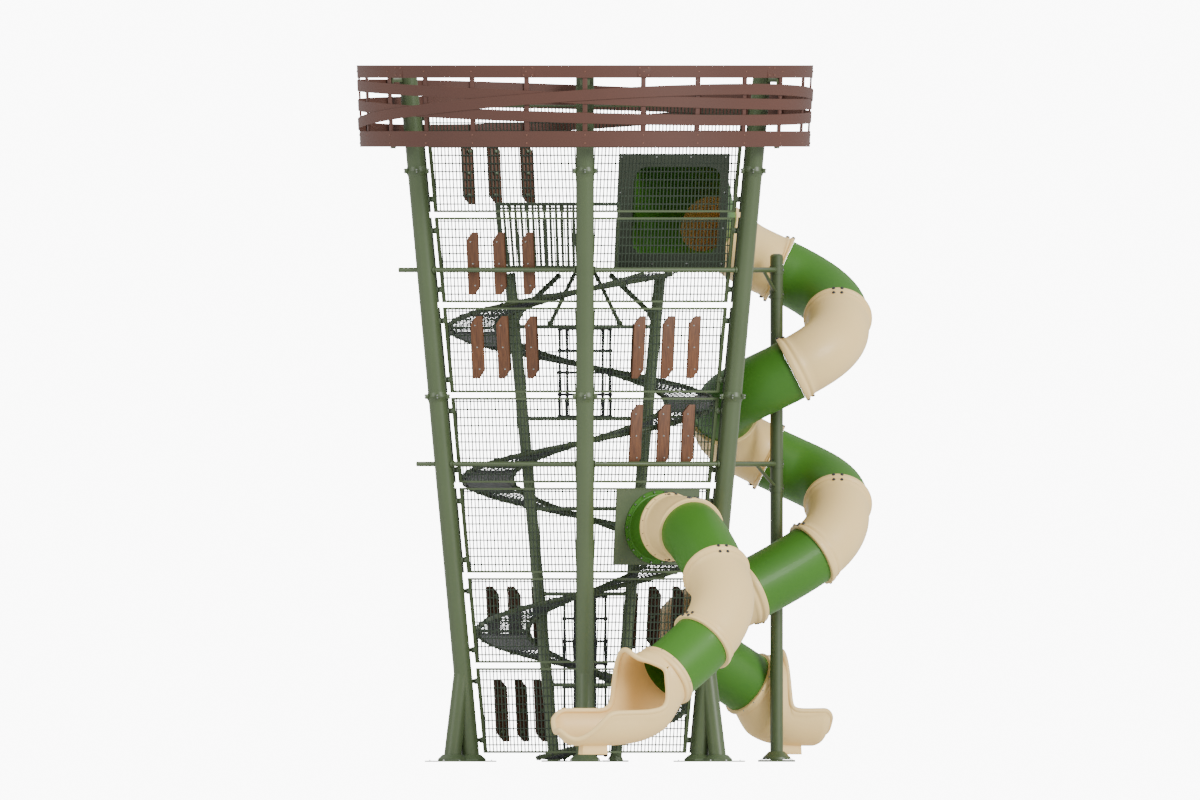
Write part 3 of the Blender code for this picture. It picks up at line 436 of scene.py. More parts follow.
def wire_tree():
    """Round wire along every edge of a mesh of lines."""
    tree, start, end = geometry_tree("round_wire", (("Wire Radius", "NodeSocketFloat"),
                                                    ("Sides", "NodeSocketInt"),
                                                    ("Closed Ends", "NodeSocketBool"),
                                                    ("Finish", "NodeSocketMaterial")))
    line = tree.nodes.new("GeometryNodeMeshToCurve")
    section = tree.nodes.new("GeometryNodeCurvePrimitiveCircle")
    sweep = tree.nodes.new("GeometryNodeCurveToMesh")
    real = tree.nodes.new("GeometryNodeRealizeInstances")
    finish = tree.nodes.new("GeometryNodeSetMaterial")
    tree.links.new(start.outputs["Geometry"], line.inputs["Mesh"])
    tree.links.new(start.outputs["Sides"], section.inputs["Resolution"])
    tree.links.new(start.outputs["Wire Radius"], section.inputs["Radius"])
    tree.links.new(line.outputs["Curve"], sweep.inputs["Curve"])
    tree.links.new(section.outputs["Curve"], sweep.inputs["Profile Curve"])
    tree.links.new(start.outputs["Closed Ends"], sweep.inputs["Fill Caps"])
    tree.links.new(sweep.outputs["Mesh"], real.inputs["Geometry"])
    tree.links.new(real.outputs["Geometry"], finish.inputs["Geometry"])
    tree.links.new(start.outputs["Finish"], finish.inputs["Material"])
    tree.links.new(finish.outputs["Geometry"], end.inputs["Geometry"])
    return tree


round_wire = wire_tree()


def wires(name, lines, radius, sides, material, closed_ends=True):
    """One piece of round wire or rope along a list of point lines."""
    points, edges = [], []
    for line in lines:
        first = len(points)
        points += line
        edges += [(first + i, first + i + 1) for i in range(len(line) - 1)]
    mesh = bpy.data.meshes.new(name)
    mesh.from_pydata(points, edges, [])
    values = {"Wire Radius": radius, "Sides": sides, "Closed Ends": closed_ends,
              "Finish": material}
    item = applied(name, mesh, round_wire, values)
    item.data.shade_smooth()
    item.data.set_sharp_from_angle(angle=math.radians(50))
    return item


def clipped(x, low, high, entry):
    """The stretches of an upright wire at x that are inside a panel and outside an entry."""
    bottom = low
    while half_width(bottom) - STILE / 2 < abs(x) and bottom < high:
        bottom += 0.05
    if entry and abs(x - entry[0]) < entry[1] and low < entry[3] and high > entry[2]:
        spans = [(bottom, min(high, entry[2])), (max(bottom, entry[3]), high)]
    else:
        spans = [(bottom, high)]
    return [span for span in spans if span[1] - span[0] > 0.03]


def level_spans(height, entry):
    """The stretches of a level wire that are outside an entry."""
    reach = half_width(height) - STILE / 2
    if entry and entry[2] < height < entry[3]:
        left, right = entry[0] - entry[1], entry[0] + entry[1]
        return [span for span in ((-reach, left), (right, reach)) if span[1] - span[0] > 0.03]
    return [(-reach, reach)]


wire_paint = coat("wire_paint", (0.030, 0.046, 0.027), (0.030, 0.045, 0.028), 0.45)
DOORWAY_PANELS = 2
clamp_places = []
for label, angle in FACES.items():
    place = face_frame(angle)
    entry = ENTRIES.get(label)
    shape = bmesh.new()
    lines = []
    for number, (low, high) in enumerate(PANELS):
        if label == "left" and number < DOORWAY_PANELS:
            continue
        outline_bar(shape, place, panel_outline(low, high, 0, 0),
                    panel_outline(low, high, STILE, RAIL), FRAME_DEPTH)
        x = -math.floor(half_width(high) / WIRE_STEPS[0]) * WIRE_STEPS[0]
        while x < half_width(high):
            for bottom, top in clipped(x, low + RAIL / 2, high - RAIL / 2, entry):
                lines.append([place @ Vector((x, bottom * SLOPE, 0.003)),
                              place @ Vector((x, top * SLOPE, 0.003))])
            x += WIRE_STEPS[0]
        height = low + WIRE_STEPS[1]
        while height < high - RAIL:
            for left, right in level_spans(height, entry):
                lines.append([place @ Vector((left, height * SLOPE, -0.003)),
                              place @ Vector((right, height * SLOPE, -0.003))])
            height += WIRE_STEPS[1]
        for height in (low + 0.16, high - 0.16):
            clamp_places += [(place, -1, height), (place, 1, height)]
    frames = piece(f"panel_frames_{label}", shape, post_paint)
    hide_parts(f"mesh_face_{label}")
    grid = wires(f"panel_wires_{label}", lines, WIRE_RADIUS, 5, wire_paint, False)

shape = bmesh.new()
clamp_bolts = []
for place, side, height in clamp_places:
    near, far = post_distance(height) / 2 - 0.02, half_width(height) - 0.03
    middle = Vector((side * (near + far) / 2, height * SLOPE, 0.006))
    block(shape, (near - far, 0.05, 0.030), place @ Matrix.Translation(middle), 0.004)
    root = Vector((side * (near - 0.016), height * SLOPE, 0.045))
    block(shape, (0.034, 0.062, 0.10), place @ Matrix.Translation(root), 0.006)
    middle.x = side * (half_width(height) + 0.004)
    block(shape, (0.05, 0.07, 0.05), place @ Matrix.Translation(middle), 0.006)
    out = place.to_3x3() @ Vector((0, 0, 1))
    clamp_bolts.append((place @ (middle + Vector((0, 0, 0.024))), out))
piece("panel_clamps", shape, dark_paint)
bolts("clamp_bolts", clamp_bolts, 0.012, 0.012, zinc)

# Climbing boards: planks 0.76 m tall with two opposite corners cut, stained red brown,
# three bolts through each into clamps on the mesh, in rows of three.
BOARD_HEIGHT = 0.77
BOARD_WIDTH = 0.165
BOARD_DEPTH = 0.032
BOARD_CUT = (0.085, 0.10)
BOARD_ROWS = (
    ("front_left", 6.13, (-0.50, -0.126, 0.285)),
    ("front_left", 5.10, (-0.492, -0.129, 0.276)),
    ("front_right", 5.10, (-0.269, 0.143, 0.513)),
    ("front_right", 4.01, (-0.254, 0.137, 0.485)),
    ("back_left", 7.24, (0.52, 0.136, -0.319)),
    ("back_left", 1.77, (0.44, 0.135, -0.20)),
    ("back_left", 0.628, (0.387, 0.103, -0.167)),
    ("back_right", 1.77, (-0.455, -0.128, 0.20)),
    ("left", 7.15, (-0.42, 0.0, 0.42)),
    ("left", 6.13, (-0.42, 0.0, 0.42)),
    ("right", 7.15, (-0.42, 0.0, 0.42)),
    ("right", 6.13, (-0.42, 0.0, 0.42)),
)


def plank(name):
    """Stained plank: long grain up the board, darker pores, each board its own tone."""
    material = bpy.data.materials.new(name)
    material.use_nodes = True
    tree = material.node_tree
    shader = tree.nodes["Principled BSDF"]
    coords = tree.nodes.new("ShaderNodeTexCoord")
    stretch = tree.nodes.new("ShaderNodeMapping")
    stretch.inputs["Scale"].default_value = (26, 26, 1.6)
    grain = tree.nodes.new("ShaderNodeTexNoise")
    grain.inputs["Scale"].default_value = 2.2
    grain.inputs["Detail"].default_value = 8
    grain.inputs["Distortion"].default_value = 0.6
    tone = tree.nodes.new("ShaderNodeTexNoise")
    tone.inputs["Scale"].default_value = 1.7
    tree.links.new(coords.outputs["Object"], stretch.inputs["Vector"])
    tree.links.new(stretch.outputs["Vector"], grain.inputs["Vector"])
    tree.links.new(coords.outputs["Object"], tone.inputs["Vector"])
    ramp = tree.nodes.new("ShaderNodeValToRGB")
    ramp.color_ramp.elements[0].position = 0.30
    ramp.color_ramp.elements[0].color = (0.094, 0.030, 0.008, 1)
    ramp.color_ramp.elements[1].position = 0.72
    ramp.color_ramp.elements[1].color = (0.222, 0.083, 0.025, 1)
    tree.links.new(grain.outputs["Fac"], ramp.inputs["Fac"])
    shade = tree.nodes.new("ShaderNodeMix")
    shade.data_type = "RGBA"
    shade.blend_type = "MULTIPLY"
    shade.inputs[0].default_value = 0.5
    tree.links.new(ramp.outputs["Color"], shade.inputs[6])
    tree.links.new(tone.outputs["Fac"], shade.inputs[7])
    tree.links.new(shade.outputs[2], shader.inputs["Base Color"])
    shader.inputs["Roughness"].default_value = 0.55
    relief = tree.nodes.new("ShaderNodeBump")
    relief.inputs["Strength"].default_value = 0.25
    relief.inputs["Distance"].default_value = 0.002
    tree.links.new(grain.outputs["Fac"], relief.inputs["Height"])
    tree.links.new(relief.outputs["Normal"], shader.inputs["Normal"])
    return material


board_wood = plank("board_wood")
boards = bmesh.new()
backs = bmesh.new()
board_bolts = []
for face, height, columns in BOARD_ROWS:
    place = face_frame(FACES[face])
    out = place.to_3x3() @ Vector((0, 0, 1))
    wide, tall = BOARD_WIDTH / 2, BOARD_HEIGHT / 2
    cut_x, cut_y = BOARD_CUT
    outline = [(-wide, -tall), (wide - cut_x, -tall), (wide, cut_y - tall), (wide, tall),
               (cut_x - wide, tall), (-wide, tall - cut_y)]
    for x in columns:
        rings = []
        for lift, inset in ((0.016, 0.004), (0.020, 0), (0.044, 0), (0.048, 0.004)):
            share = 1 - inset / wide
            rings.append([boards.verts.new(place @ Vector((x + px * share, height * SLOPE + py * share,
                                                           lift))) for px, py in outline])
        for near, far in zip(rings, rings[1:]):
            for i in range(6):
                j = (i + 1) % 6
                boards.faces.new((near[i], near[j], far[j], far[i]))
        boards.faces.new(rings[0])
        boards.faces.new(rings[-1][::-1])
        for rise, shift in ((0.27, -0.02), (0, 0.0), (-0.27, 0.02)):
            spot = Vector((x + shift, height * SLOPE + rise, 0.047))
            board_bolts.append((place @ spot, out))
            spot.z = -0.002
            block(backs, (0.056, 0.036, 0.022), place @ Matrix.Translation(spot), 0.005)
item = piece("climbing_boards", boards, board_wood, 20)
piece("board_clamps", backs, dark_paint)
bolts("board_bolts", board_bolts, 0.013, 0.007, zinc)

# Core: six 114 mm inner posts that lean with the outer ones, tied by five tube rings and
# braced up to the deck by struts, all in dark green coat, its colour painted lighter as
# painted light against the shade the mesh casts inside, with welded base plates.
CORE_SETBACK = 1.19
CORE_RADIUS = 0.072
CORE_RINGS = (0.95, 2.07, 3.12, 4.23, 5.36)
NET_RINGS = (2.07, 4.23, 5.36)
CROSS_BAR_Y = 0.219
DECK_HEIGHT = 6.03


def core_point(angle, height, shift=0):
    return polar(post_distance(height) - CORE_SETBACK + shift, angle, height)


def core_edge(angle, height):
    """Middle of a core ring's side."""
    return polar((post_distance(height) - CORE_SETBACK) * COS30, angle, height)


# Painted light: the core coat's colour is raised above the real dark green to make up for the shade
# the mesh wires cast on the inner posts and rings.
core_paint_painted_lighter = coat("core_paint_painted_lighter", (0.125, 0.175, 0.085), (0.095, 0.135, 0.064), 0.44)
for label, angle in POST_ANGLES.items():
    shape = bmesh.new()
    rod(shape, core_point(angle, 0.012), core_point(angle, DECK_HEIGHT - 0.012), CORE_RADIUS, 32)
    block(shape, (0.24, 0.24, 0.02), radial_frame(POST_FOOT - CORE_SETBACK, angle, 0.011))
    rod(shape, core_point(angle, 0.02), core_point(angle, 0.10), 0.10, 8, 0.06)
    rod(shape, core_point(angle, 5.46), polar(0.36, angle, DECK_HEIGHT - 0.03), 0.032, 20)
    rod(shape, core_point(angle, 5.47, -0.05), core_point(angle, 5.53, -0.11), 0.038, 16)
    item = piece(f"core_post_{label}", shape, core_paint_painted_lighter)
    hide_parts(f"inner_post_{label}")

for number, height in enumerate(CORE_RINGS, 1):
    shape = bmesh.new()
    for angle in POST_ANGLES.values():
        near, far = core_point(angle, height), core_point(angle + 60, height)
        along = (far - near).normalized()
        rod(shape, near + along * 0.05, far - along * 0.05, 0.024, 24)
        rod(shape, near + along * 0.05, near + along * 0.075, 0.036, 16)
        rod(shape, far - along * 0.075, far - along * 0.05, 0.036, 16)
    if height in NET_RINGS:
        reach = (core_point(0, height).x - CENTRE.x) * 0.866
        for side in (-1, 1):
            middle = CENTRE + Vector((0, side * CROSS_BAR_Y, height))
            rod(shape, middle - Vector((reach, 0, 0)), middle + Vector((reach, 0, 0)), 0.016, 20)
    if height == CORE_RINGS[-1]:
        for angle in (60, 120, 240, 300):
            foot, head = core_edge(angle, height + 0.02), polar(0.26, angle, DECK_HEIGHT - 0.02)
            rod(shape, foot, head, 0.024, 20)
            rod(shape, foot, foot + (head - foot).normalized() * 0.05, 0.036, 16)
    item = piece(f"core_tie_{number}", shape, core_paint_painted_lighter)
    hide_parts(f"core_ring_{number}")

# Climbing nets: upright and level ropes of black braided line, clamped at every crossing
# by a pressed ball connector, hung from the cross bars of two core rings.
def braid(name, colour, shadow, scale):
    """Braided line: fine crossed strands in height and tone."""
    material = coat(name, colour, shadow, 0.78, grain=220, bump=0.3, patch=5)
    tree = material.node_tree
    shader = tree.nodes["Principled BSDF"]
    coords = tree.nodes["Texture Coordinate"]
    strands = tree.nodes.new("ShaderNodeTexVoronoi")
    strands.inputs["Scale"].default_value = scale
    tree.links.new(coords.outputs["Object"], strands.inputs["Vector"])
    relief = tree.nodes.new("ShaderNodeBump")
    relief.inputs["Strength"].default_value = 0.5
    relief.inputs["Distance"].default_value = 0.003
    tree.links.new(strands.outputs["Distance"], relief.inputs["Height"])
    tree.links.new(relief.outputs["Normal"], shader.inputs["Normal"])
    return material


def ball_tree():
    """One pressed ball connector on every point."""
    tree, start, end = geometry_tree("ball_connectors", (("Ball Radius", "NodeSocketFloat"),
                                                         ("Finish", "NodeSocketMaterial")))
    ball = tree.nodes.new("GeometryNodeMeshIcoSphere")
    ball.inputs["Subdivisions"].default_value = 2
    tree.links.new(start.outputs["Ball Radius"], ball.inputs["Radius"])
    place = tree.nodes.new("GeometryNodeInstanceOnPoints")
    tree.links.new(start.outputs["Geometry"], place.inputs["Points"])
    tree.links.new(ball.outputs["Mesh"], place.inputs["Instance"])
    real = tree.nodes.new("GeometryNodeRealizeInstances")
    finish = tree.nodes.new("GeometryNodeSetMaterial")
    tree.links.new(place.outputs["Instances"], real.inputs["Geometry"])
    tree.links.new(real.outputs["Geometry"], finish.inputs["Geometry"])
    tree.links.new(start.outputs["Finish"], finish.inputs["Material"])
    tree.links.new(finish.outputs["Geometry"], end.inputs["Geometry"])
    return tree


ball_connectors = ball_tree()
black_rope = braid("black_rope", (0.030, 0.036, 0.042), (0.017, 0.020, 0.024), 160)
black_plastic = coat("black_plastic", (0.035, 0.037, 0.035), (0.02, 0.021, 0.02), 0.4)
for label, low, high, radius, ropes, rungs in (
        ("upper", 4.256, 5.334, 0.31, 8, 5), ("lower", 0.09, 2.044, 0.253, 6, 8)):
    heights = [low + (high - low) * row / (rungs - 1) for row in range(rungs)]
    uprights = [[polar(radius, 360 * i / ropes, height) for height in heights]
                for i in range(ropes)]
    levels = [[polar(radius, 360 * i / ropes, height) for i in range(ropes + 1)]
              for height in heights]
    net = wires(f"climbing_net_{label}_ropes", uprights + levels, 0.0155, 10, black_rope)
    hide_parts(f"climbing_net_{label}")
    points = bpy.data.meshes.new("connectors")
    points.from_pydata([point for line in uprights for point in line], [], [])
    balls = applied(f"climbing_net_{label}_balls", points, ball_connectors,
                    {"Ball Radius": 0.031, "Finish": black_plastic})
    balls.data.shade_smooth()

# Net ramp: a helical walkway of knotted grey netting laced to a tube rail at each edge,
# climbing a little over three turns from the ground to the deck, with mats at the corners.
RAMP_PITCH = 1.87
RAMP_LEFT_HEIGHT = 1.605
RAMP_START = -120
RAMP_END = 1031
RAMP_RAIL = 0.030
RAMP_STOPS = (-120, 240, 600, 1031)


def ramp_point(angle, share, lift=0):
    """A point on the ramp, from its inner rail (0) to its outer rail (1)."""
    height = RAMP_LEFT_HEIGHT + RAMP_PITCH * (angle - 180) / 360
    inner = post_distance(height) - CORE_SETBACK + CORE_RADIUS + 0.028
    outer = post_distance(height) * COS30 - 0.225
    return polar(inner + (outer - inner) * share, angle, height + lift)


def sweep(shape, points, radius, sides=16, closed=False):
    """Adds a round tube along a line of points, capped unless it closes on itself."""
    rings = []
    count = len(points)
    across = None
    for i, point in enumerate(points):
        if closed:
            along = points[(i + 1) % count] - points[i - 1]
        else:
            along = points[min(i + 1, count - 1)] - points[max(i - 1, 0)]
        along = along.normalized()
        if across is None:
            across = along.orthogonal().normalized()
        across = (across - along * across.dot(along)).normalized()
        other = along.cross(across)
        size = radius[i] if isinstance(radius, list) else radius
        rings.append([shape.verts.new(point + (across * math.cos(math.tau * k / sides)
                                               + other * math.sin(math.tau * k / sides)) * size)
                      for k in range(sides)])
    for near, far in zip(rings, rings[1:] + (rings[:1] if closed else [])):
        shift = 0
        if closed and far is rings[0]:
            shift = min(range(sides), key=lambda k: (far[k].co - near[0].co).length)
        for k in range(sides):
            j = (k + 1) % sides
            shape.faces.new((near[k], near[j], far[(j + shift) % sides], far[(k + shift) % sides]))
    if not closed:
        shape.faces.new(rings[0][::-1])
        shape.faces.new(rings[-1])


netting = braid("grey_netting", (0.085, 0.092, 0.096), (0.040, 0.044, 0.047), 210)
shape = bmesh.new()
for share in (0, 1):
    line = [ramp_point(RAMP_START + 4 * i, share) for i in range((RAMP_END - RAMP_START) // 4 + 1)]
    sweep(shape, line, RAMP_RAIL, 12)
for angle in range(RAMP_START, RAMP_END, 30):
    rod(shape, ramp_point(angle, 0), ramp_point(angle, 1), 0.012, 12)
rails = piece("ramp_rails", shape, post_paint)

for number, (first, last) in enumerate(zip(RAMP_STOPS, RAMP_STOPS[1:]), 1):
    lines = []
    count = int((last - first) / 3.0)
    turns = [first + (last - first) * i / count for i in range(count + 1)]
    for row in range(1, 8):
        lines.append([ramp_point(turn, row / 8, -0.012 * math.sin(math.pi * row / 8))
                      for turn in turns])
    for turn in turns:
        lines.append([ramp_point(turn, row / 6, -0.012 * math.sin(math.pi * row / 6))
                      for row in range(7)])
    net = wires(f"ramp_netting_{number}", lines, 0.0068, 5, netting, False)
    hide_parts(f"net_ramp_{number}")

lacing = []
for share in (0, 1):
    step = 9 if share else 12
    for angle in range(RAMP_START + 2, RAMP_END, step):
        middle = ramp_point(angle, share)
        side = outward(angle)
        lacing.append([middle + (side * math.cos(math.tau * k / 9)
                                 + Vector((0, 0, math.sin(math.tau * k / 9)))) * (RAMP_RAIL + 0.006)
                       for k in range(10)])
item = wires("ramp_lacing", lacing, 0.006, 6, netting)

mat_grey = coat("mat_grey", (0.195, 0.200, 0.205), (0.160, 0.165, 0.170), 0.6)
shape = bmesh.new()
shares = (0.05, 0.27, 0.5, 0.73, 0.95)
for first, last in ((142, 174), (344, 376), (520, 560), (704, 736), (862, 890)):
    rows = []
    for turn in range(first, last + 1, 4):
        rows.append([[shape.verts.new(ramp_point(turn, share,
                                                 lift - 0.012 * math.sin(math.pi * share)))
                      for share in shares] for lift in (-0.017, 0.017)])
    for near, far in zip(rows, rows[1:]):
        for layer in (0, 1):
            for i in range(4):
                shape.faces.new((near[layer][i], near[layer][i + 1], far[layer][i + 1],
                                 far[layer][i]))
        for i in (0, 4):
            shape.faces.new((near[0][i], near[1][i], far[1][i], far[0][i]))
    for row in (rows[0], rows[-1]):
        for i in range(4):
            shape.faces.new((row[0][i], row[0][i + 1], row[1][i + 1], row[1][i]))
piece("ramp_mats", shape, mat_grey)

# Deck and guard: a steel plate floor over the core, and a guard of close upright bars
# between two rails, leaning like the posts, with a short return rail at the slide side.
deck_steel = coat("deck_steel", (0.070, 0.098, 0.060), (0.045, 0.065, 0.040), 0.55, grain=90)
bpy.data.objects["deck"].data.materials[0] = deck_steel
GUARD_FLOOR = 6.07
GUARD_HEIGHT = 0.80
GUARD_ANGLES = (90, 150, 210, 270)
GUARD_BARS = 15


def guard_point(angle, level):
    reach = post_distance(DECK_HEIGHT) - CORE_SETBACK + 0.09 + LEAN * level
    return polar(reach, angle, GUARD_FLOOR + level)


shape = bmesh.new()
for level, thick in ((0.03, 0.014), (GUARD_HEIGHT - 0.05, 0.012), (GUARD_HEIGHT, 0.021)):
    for near, far in zip(GUARD_ANGLES, GUARD_ANGLES[1:]):
        rod(shape, guard_point(near, level), guard_point(far, level), thick, 16)
for angle in GUARD_ANGLES:
    tall = 1.45 if angle in (90, 270) else GUARD_HEIGHT + 0.01
    rod(shape, guard_point(angle, 0.002), guard_point(angle, tall), 0.032, 24)
for near, far in zip(GUARD_ANGLES, GUARD_ANGLES[1:]):
    for step in range(1, GUARD_BARS):
        low = guard_point(near, 0.01).lerp(guard_point(far, 0.01), step / GUARD_BARS)
        high = guard_point(near, GUARD_HEIGHT).lerp(guard_point(far, GUARD_HEIGHT),
                                                    step / GUARD_BARS)
        rod(shape, low, high, 0.0165, 10)
turn_rail = guard_point(270, GUARD_HEIGHT).lerp(guard_point(312, GUARD_HEIGHT), 0.5)
rod(shape, guard_point(270, GUARD_HEIGHT), turn_rail, 0.021, 16)
rod(shape, turn_rail, guard_point(270, 0.002).lerp(guard_point(312, 0.002), 0.5), 0.018, 16)
item = piece("guard_bars", shape, dark_paint)
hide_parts("deck_guard")

# Crown: two rolled hoops joined by 24 uprights, with three flat bands woven round them,
# painted matt rust brown, splice plates and bolts where the hoop lengths meet.
CROWN_TOP = (8.504, 0.079)
CROWN_BOTTOM = (7.6725, 0.0975)
UPRIGHT_THICKNESS = 0.03
BAND_THICKNESS = 0.010
CROWN_STEPS = 192
rust_paint = coat("rust_paint", (0.096, 0.034, 0.021), (0.070, 0.025, 0.015), 0.6, grain=45,
                  bump=0.12, patch=1.1)


def crown_band(shape, height_at, half_height, offset, thickness=BAND_THICKNESS):
    """Adds one closed flat band round the crown, its edges softened."""
    soft = 0.003
    corners = ((-half_height, soft), (-half_height + soft, 0), (half_height - soft, 0),
               (half_height, soft), (half_height, thickness - soft),
               (half_height - soft, thickness), (-half_height + soft, thickness),
               (-half_height, thickness - soft))
    rings = []
    for step in range(CROWN_STEPS):
        angle = 360 * step / CROWN_STEPS
        middle = height_at(math.radians(angle))
        rings.append([shape.verts.new(polar(
            upright_face(middle + rise) + UPRIGHT_THICKNESS + offset + depth, angle,
            middle + rise)) for rise, depth in corners])
    for near, far in zip(rings, rings[1:] + rings[:1]):
        for k in range(8):
            j = (k + 1) % 8
            shape.faces.new((near[k], near[j], far[j], far[k]))


def wave(mean, cosine, sine):
    return lambda angle: mean + cosine * math.cos(angle) + sine * math.sin(angle)


shape = bmesh.new()
crown_band(shape, wave(CROWN_TOP[0], 0, 0), CROWN_TOP[1], -0.004)
crown_band(shape, wave(CROWN_BOTTOM[0], 0, 0), CROWN_BOTTOM[1], -0.004)
crown_bolts = []
for step in range(24):
    angle = 15 * step
    low, high = polar(upright_face(7.6) + 0.013, angle, 7.6), polar(upright_face(8.56) + 0.013,
                                                                   angle, 8.56)
    place = upright_frame(low, high, outward(angle + 90))
    block(shape, (0.06, 0.026, (high - low).length),
          place @ Matrix.Translation((0, 0, (high - low).length / 2)), 0.002)
    for height in (CROWN_TOP[0], CROWN_BOTTOM[0] + 0.05, CROWN_BOTTOM[0] - 0.05):
        crown_bolts.append((polar(upright_face(height) + 0.0335, angle, height), outward(angle)))
for angle in (35, 75, 105, 145, 215, 255.5, 285, 325):
    for middle, tall in ((CROWN_TOP[0], 0.14),):
        radius = upright_face(middle) + UPRIGHT_THICKNESS + 0.0035
        block(shape, (0.007, 0.17, tall), radial_frame(radius, angle, middle), 0.002)
        for dy in (-0.055, 0.055):
            for dz in (-0.045, 0.045):
                spot = radial_frame(radius + 0.004, angle, middle) @ Vector((0, dy, dz))
                crown_bolts.append((spot, outward(angle)))
for angle in POST_ANGLES.values():
    radius = upright_face(7.6) + 0.012
    block(shape, (0.03, 0.19, 0.05), radial_frame(radius, angle, 7.602), 0.004)
item = piece("crown_hoops", shape, rust_paint, 30)
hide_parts("crown_frame")
for label, height_at, offset in (
        ("upper", wave(8.22, -0.111, 0.049), 0.0004), ("lower", wave(8.017, -0.074, 0.086), 0.0004),
        ("outer", wave(8.035, 0.178, -0.178), 0.0107)):
    shape = bmesh.new()
    crown_band(shape, height_at, 0.0675, offset, 0.0095)
    item = piece(f"crown_{label}", shape, rust_paint, 30)
    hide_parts(f"crown_band_{label}")
rust_bolt = coat("rust_bolt", (0.20, 0.09, 0.06), (0.14, 0.06, 0.04), 0.5)
bolts("crown_bolts", crown_bolts, 0.013, 0.008, rust_bolt)

# Entry plates: sheet steel in dark coat bolted into the two faces the slides leave from.
# The plates are the model's own, with a better finish; the bolts ring their holes.
entry_coat = coat("entry_coat", (0.040, 0.056, 0.028), (0.028, 0.040, 0.020), 0.5)
lower_coat = coat("lower_coat", (0.086, 0.118, 0.056), (0.070, 0.098, 0.046), 0.48)
bpy.data.objects["upper_entry_plate"].data.materials[0] = entry_coat
bpy.data.objects["lower_entry_plate"].data.materials[0] = lower_coat
UPPER_HOLE_X = -0.20
LOWER_HOLE_X = 0.12
plate_bolts = []
for angle, entry, hole_x, ring in ((30, UPPER_ENTRY, UPPER_HOLE_X, 0.63),
                                   (270, LOWER_ENTRY, LOWER_HOLE_X, 0.44)):
    place = face_frame(angle)
    out = place.to_3x3() @ Vector((0, 0, 1))
    middle = (entry[2] + entry[3]) / 2 * SLOPE
    if angle == 30:
        spots = [(entry[0] + dx * (entry[1] - 0.04), middle + dy * 0.66)
                 for dx in (-1, -0.33, 0.33, 1) for dy in (-1, 1)]
        spots += [(entry[0] + dx * (entry[1] - 0.04), middle + dy * 0.22)
                  for dx in (-1, 1) for dy in (-1, 1)]
    else:
        spots = [(hole_x + ring * math.cos(math.radians(20 * i)),
                  middle + ring * math.sin(math.radians(20 * i))) for i in range(18)]
    side = -1 if angle == 30 else 1
    lift = 0.012 if angle == 30 else 0.042
    plate_bolts += [(place @ Vector((x, y, side * lift)), out * side) for x, y in spots]
bolts("entry_bolts", plate_bolts, 0.014, 0.010, zinc)

# Slides: moulded plastic, green straight tubes between sand bends, each bend ending in
# thick rounded flanges that are bolted to the next section in clusters.
TUBE_RADIUS = 0.385
TUBE_WALL = 0.012
TUBE_SIDES = 64
BEND_RADIUS = 0.573
SPIRAL_HALF = 0.70
SPIRAL_X = 2.414
SPIRAL_Y = 2.50
HOOD_DEPTH = 0.75
HOOD_ANGLE = 60
DISC_OUT = 0.145
NECK = 0.17


def plan_points(start, heading, moves):
    """Plan position and heading at a distance along straight and curved moves."""
    legs = []
    place = Vector(start)
    turn = math.radians(heading)
    travelled = 0
    for kind, amount in moves:
        length = amount if kind == "straight" else abs(math.radians(amount)) * BEND_RADIUS
        legs.append((travelled, kind, amount, place.copy(), turn))
        if kind == "straight":
            place += Vector((math.cos(turn), math.sin(turn))) * amount
        else:
            side = math.copysign(1, amount)
            pivot = place + Vector((-math.sin(turn), math.cos(turn))) * side * BEND_RADIUS
            turn += math.radians(amount)
            place = pivot - Vector((-math.sin(turn), math.cos(turn))) * side * BEND_RADIUS
        travelled += length

    def at(distance):
        begun, kind, amount, place, turn = [leg for leg in legs if leg[0] <= distance + 1e-9][-1]
        run = distance - begun
        if kind == "straight":
            return place + Vector((math.cos(turn), math.sin(turn))) * run, turn
        side = math.copysign(1, amount)
        pivot = place + Vector((-math.sin(turn), math.cos(turn))) * side * BEND_RADIUS
        turned = turn + side * run / BEND_RADIUS
        return pivot - Vector((-math.sin(turned), math.cos(turned))) * side * BEND_RADIUS, turned

    return at, travelled


def joint_distances(moves, stops):
    lengths = [amount if kind == "straight" else abs(math.radians(amount)) * BEND_RADIUS
               for kind, amount in moves]
    return [sum(lengths[:stop]) for stop in stops]


def smooth_fall(joints, heights):
    """Height and slope at a distance, by a cubic through the joints."""
    slopes = []
    for i in range(len(joints)):
        low, high = max(i - 1, 0), min(i + 1, len(joints) - 1)
        slopes.append((heights[high] - heights[low]) / (joints[high] - joints[low]))

    def at(distance):
        i = max(k for k in range(len(joints) - 1) if joints[k] <= distance + 1e-9 or k == 0)
        span = joints[i + 1] - joints[i]
        t = min(max((distance - joints[i]) / span, 0), 1)
        h, m = heights, slopes
        value = ((2 * t**3 - 3 * t**2 + 1) * h[i] + (t**3 - 2 * t**2 + t) * span * m[i]
                 + (3 * t**2 - 2 * t**3) * h[i + 1] + (t**3 - t**2) * span * m[i + 1])
        slope = ((6 * t**2 - 6 * t) * (h[i] - h[i + 1]) / span
                 + (3 * t**2 - 4 * t + 1) * m[i] + (3 * t**2 - 2 * t) * m[i + 1])
        return value, slope

    return at


def slide_frame(at, fall, distance):
    """Centre point and the two cross axes of the tube at a distance."""
    spot, turn = at(distance)
    height, slope = fall(distance)
    along = Vector((math.cos(turn), math.sin(turn), slope)).normalized()
    left = Vector((-math.sin(turn), math.cos(turn), 0))
    return CENTRE + Vector((spot.x, spot.y, height)), left, along.cross(left)


def ring_points(centre, left, up, radius, sides=TUBE_SIDES):
    return [centre + (left * math.cos(math.tau * i / sides) + up * math.sin(math.tau * i / sides))
            * radius for i in range(sides)]


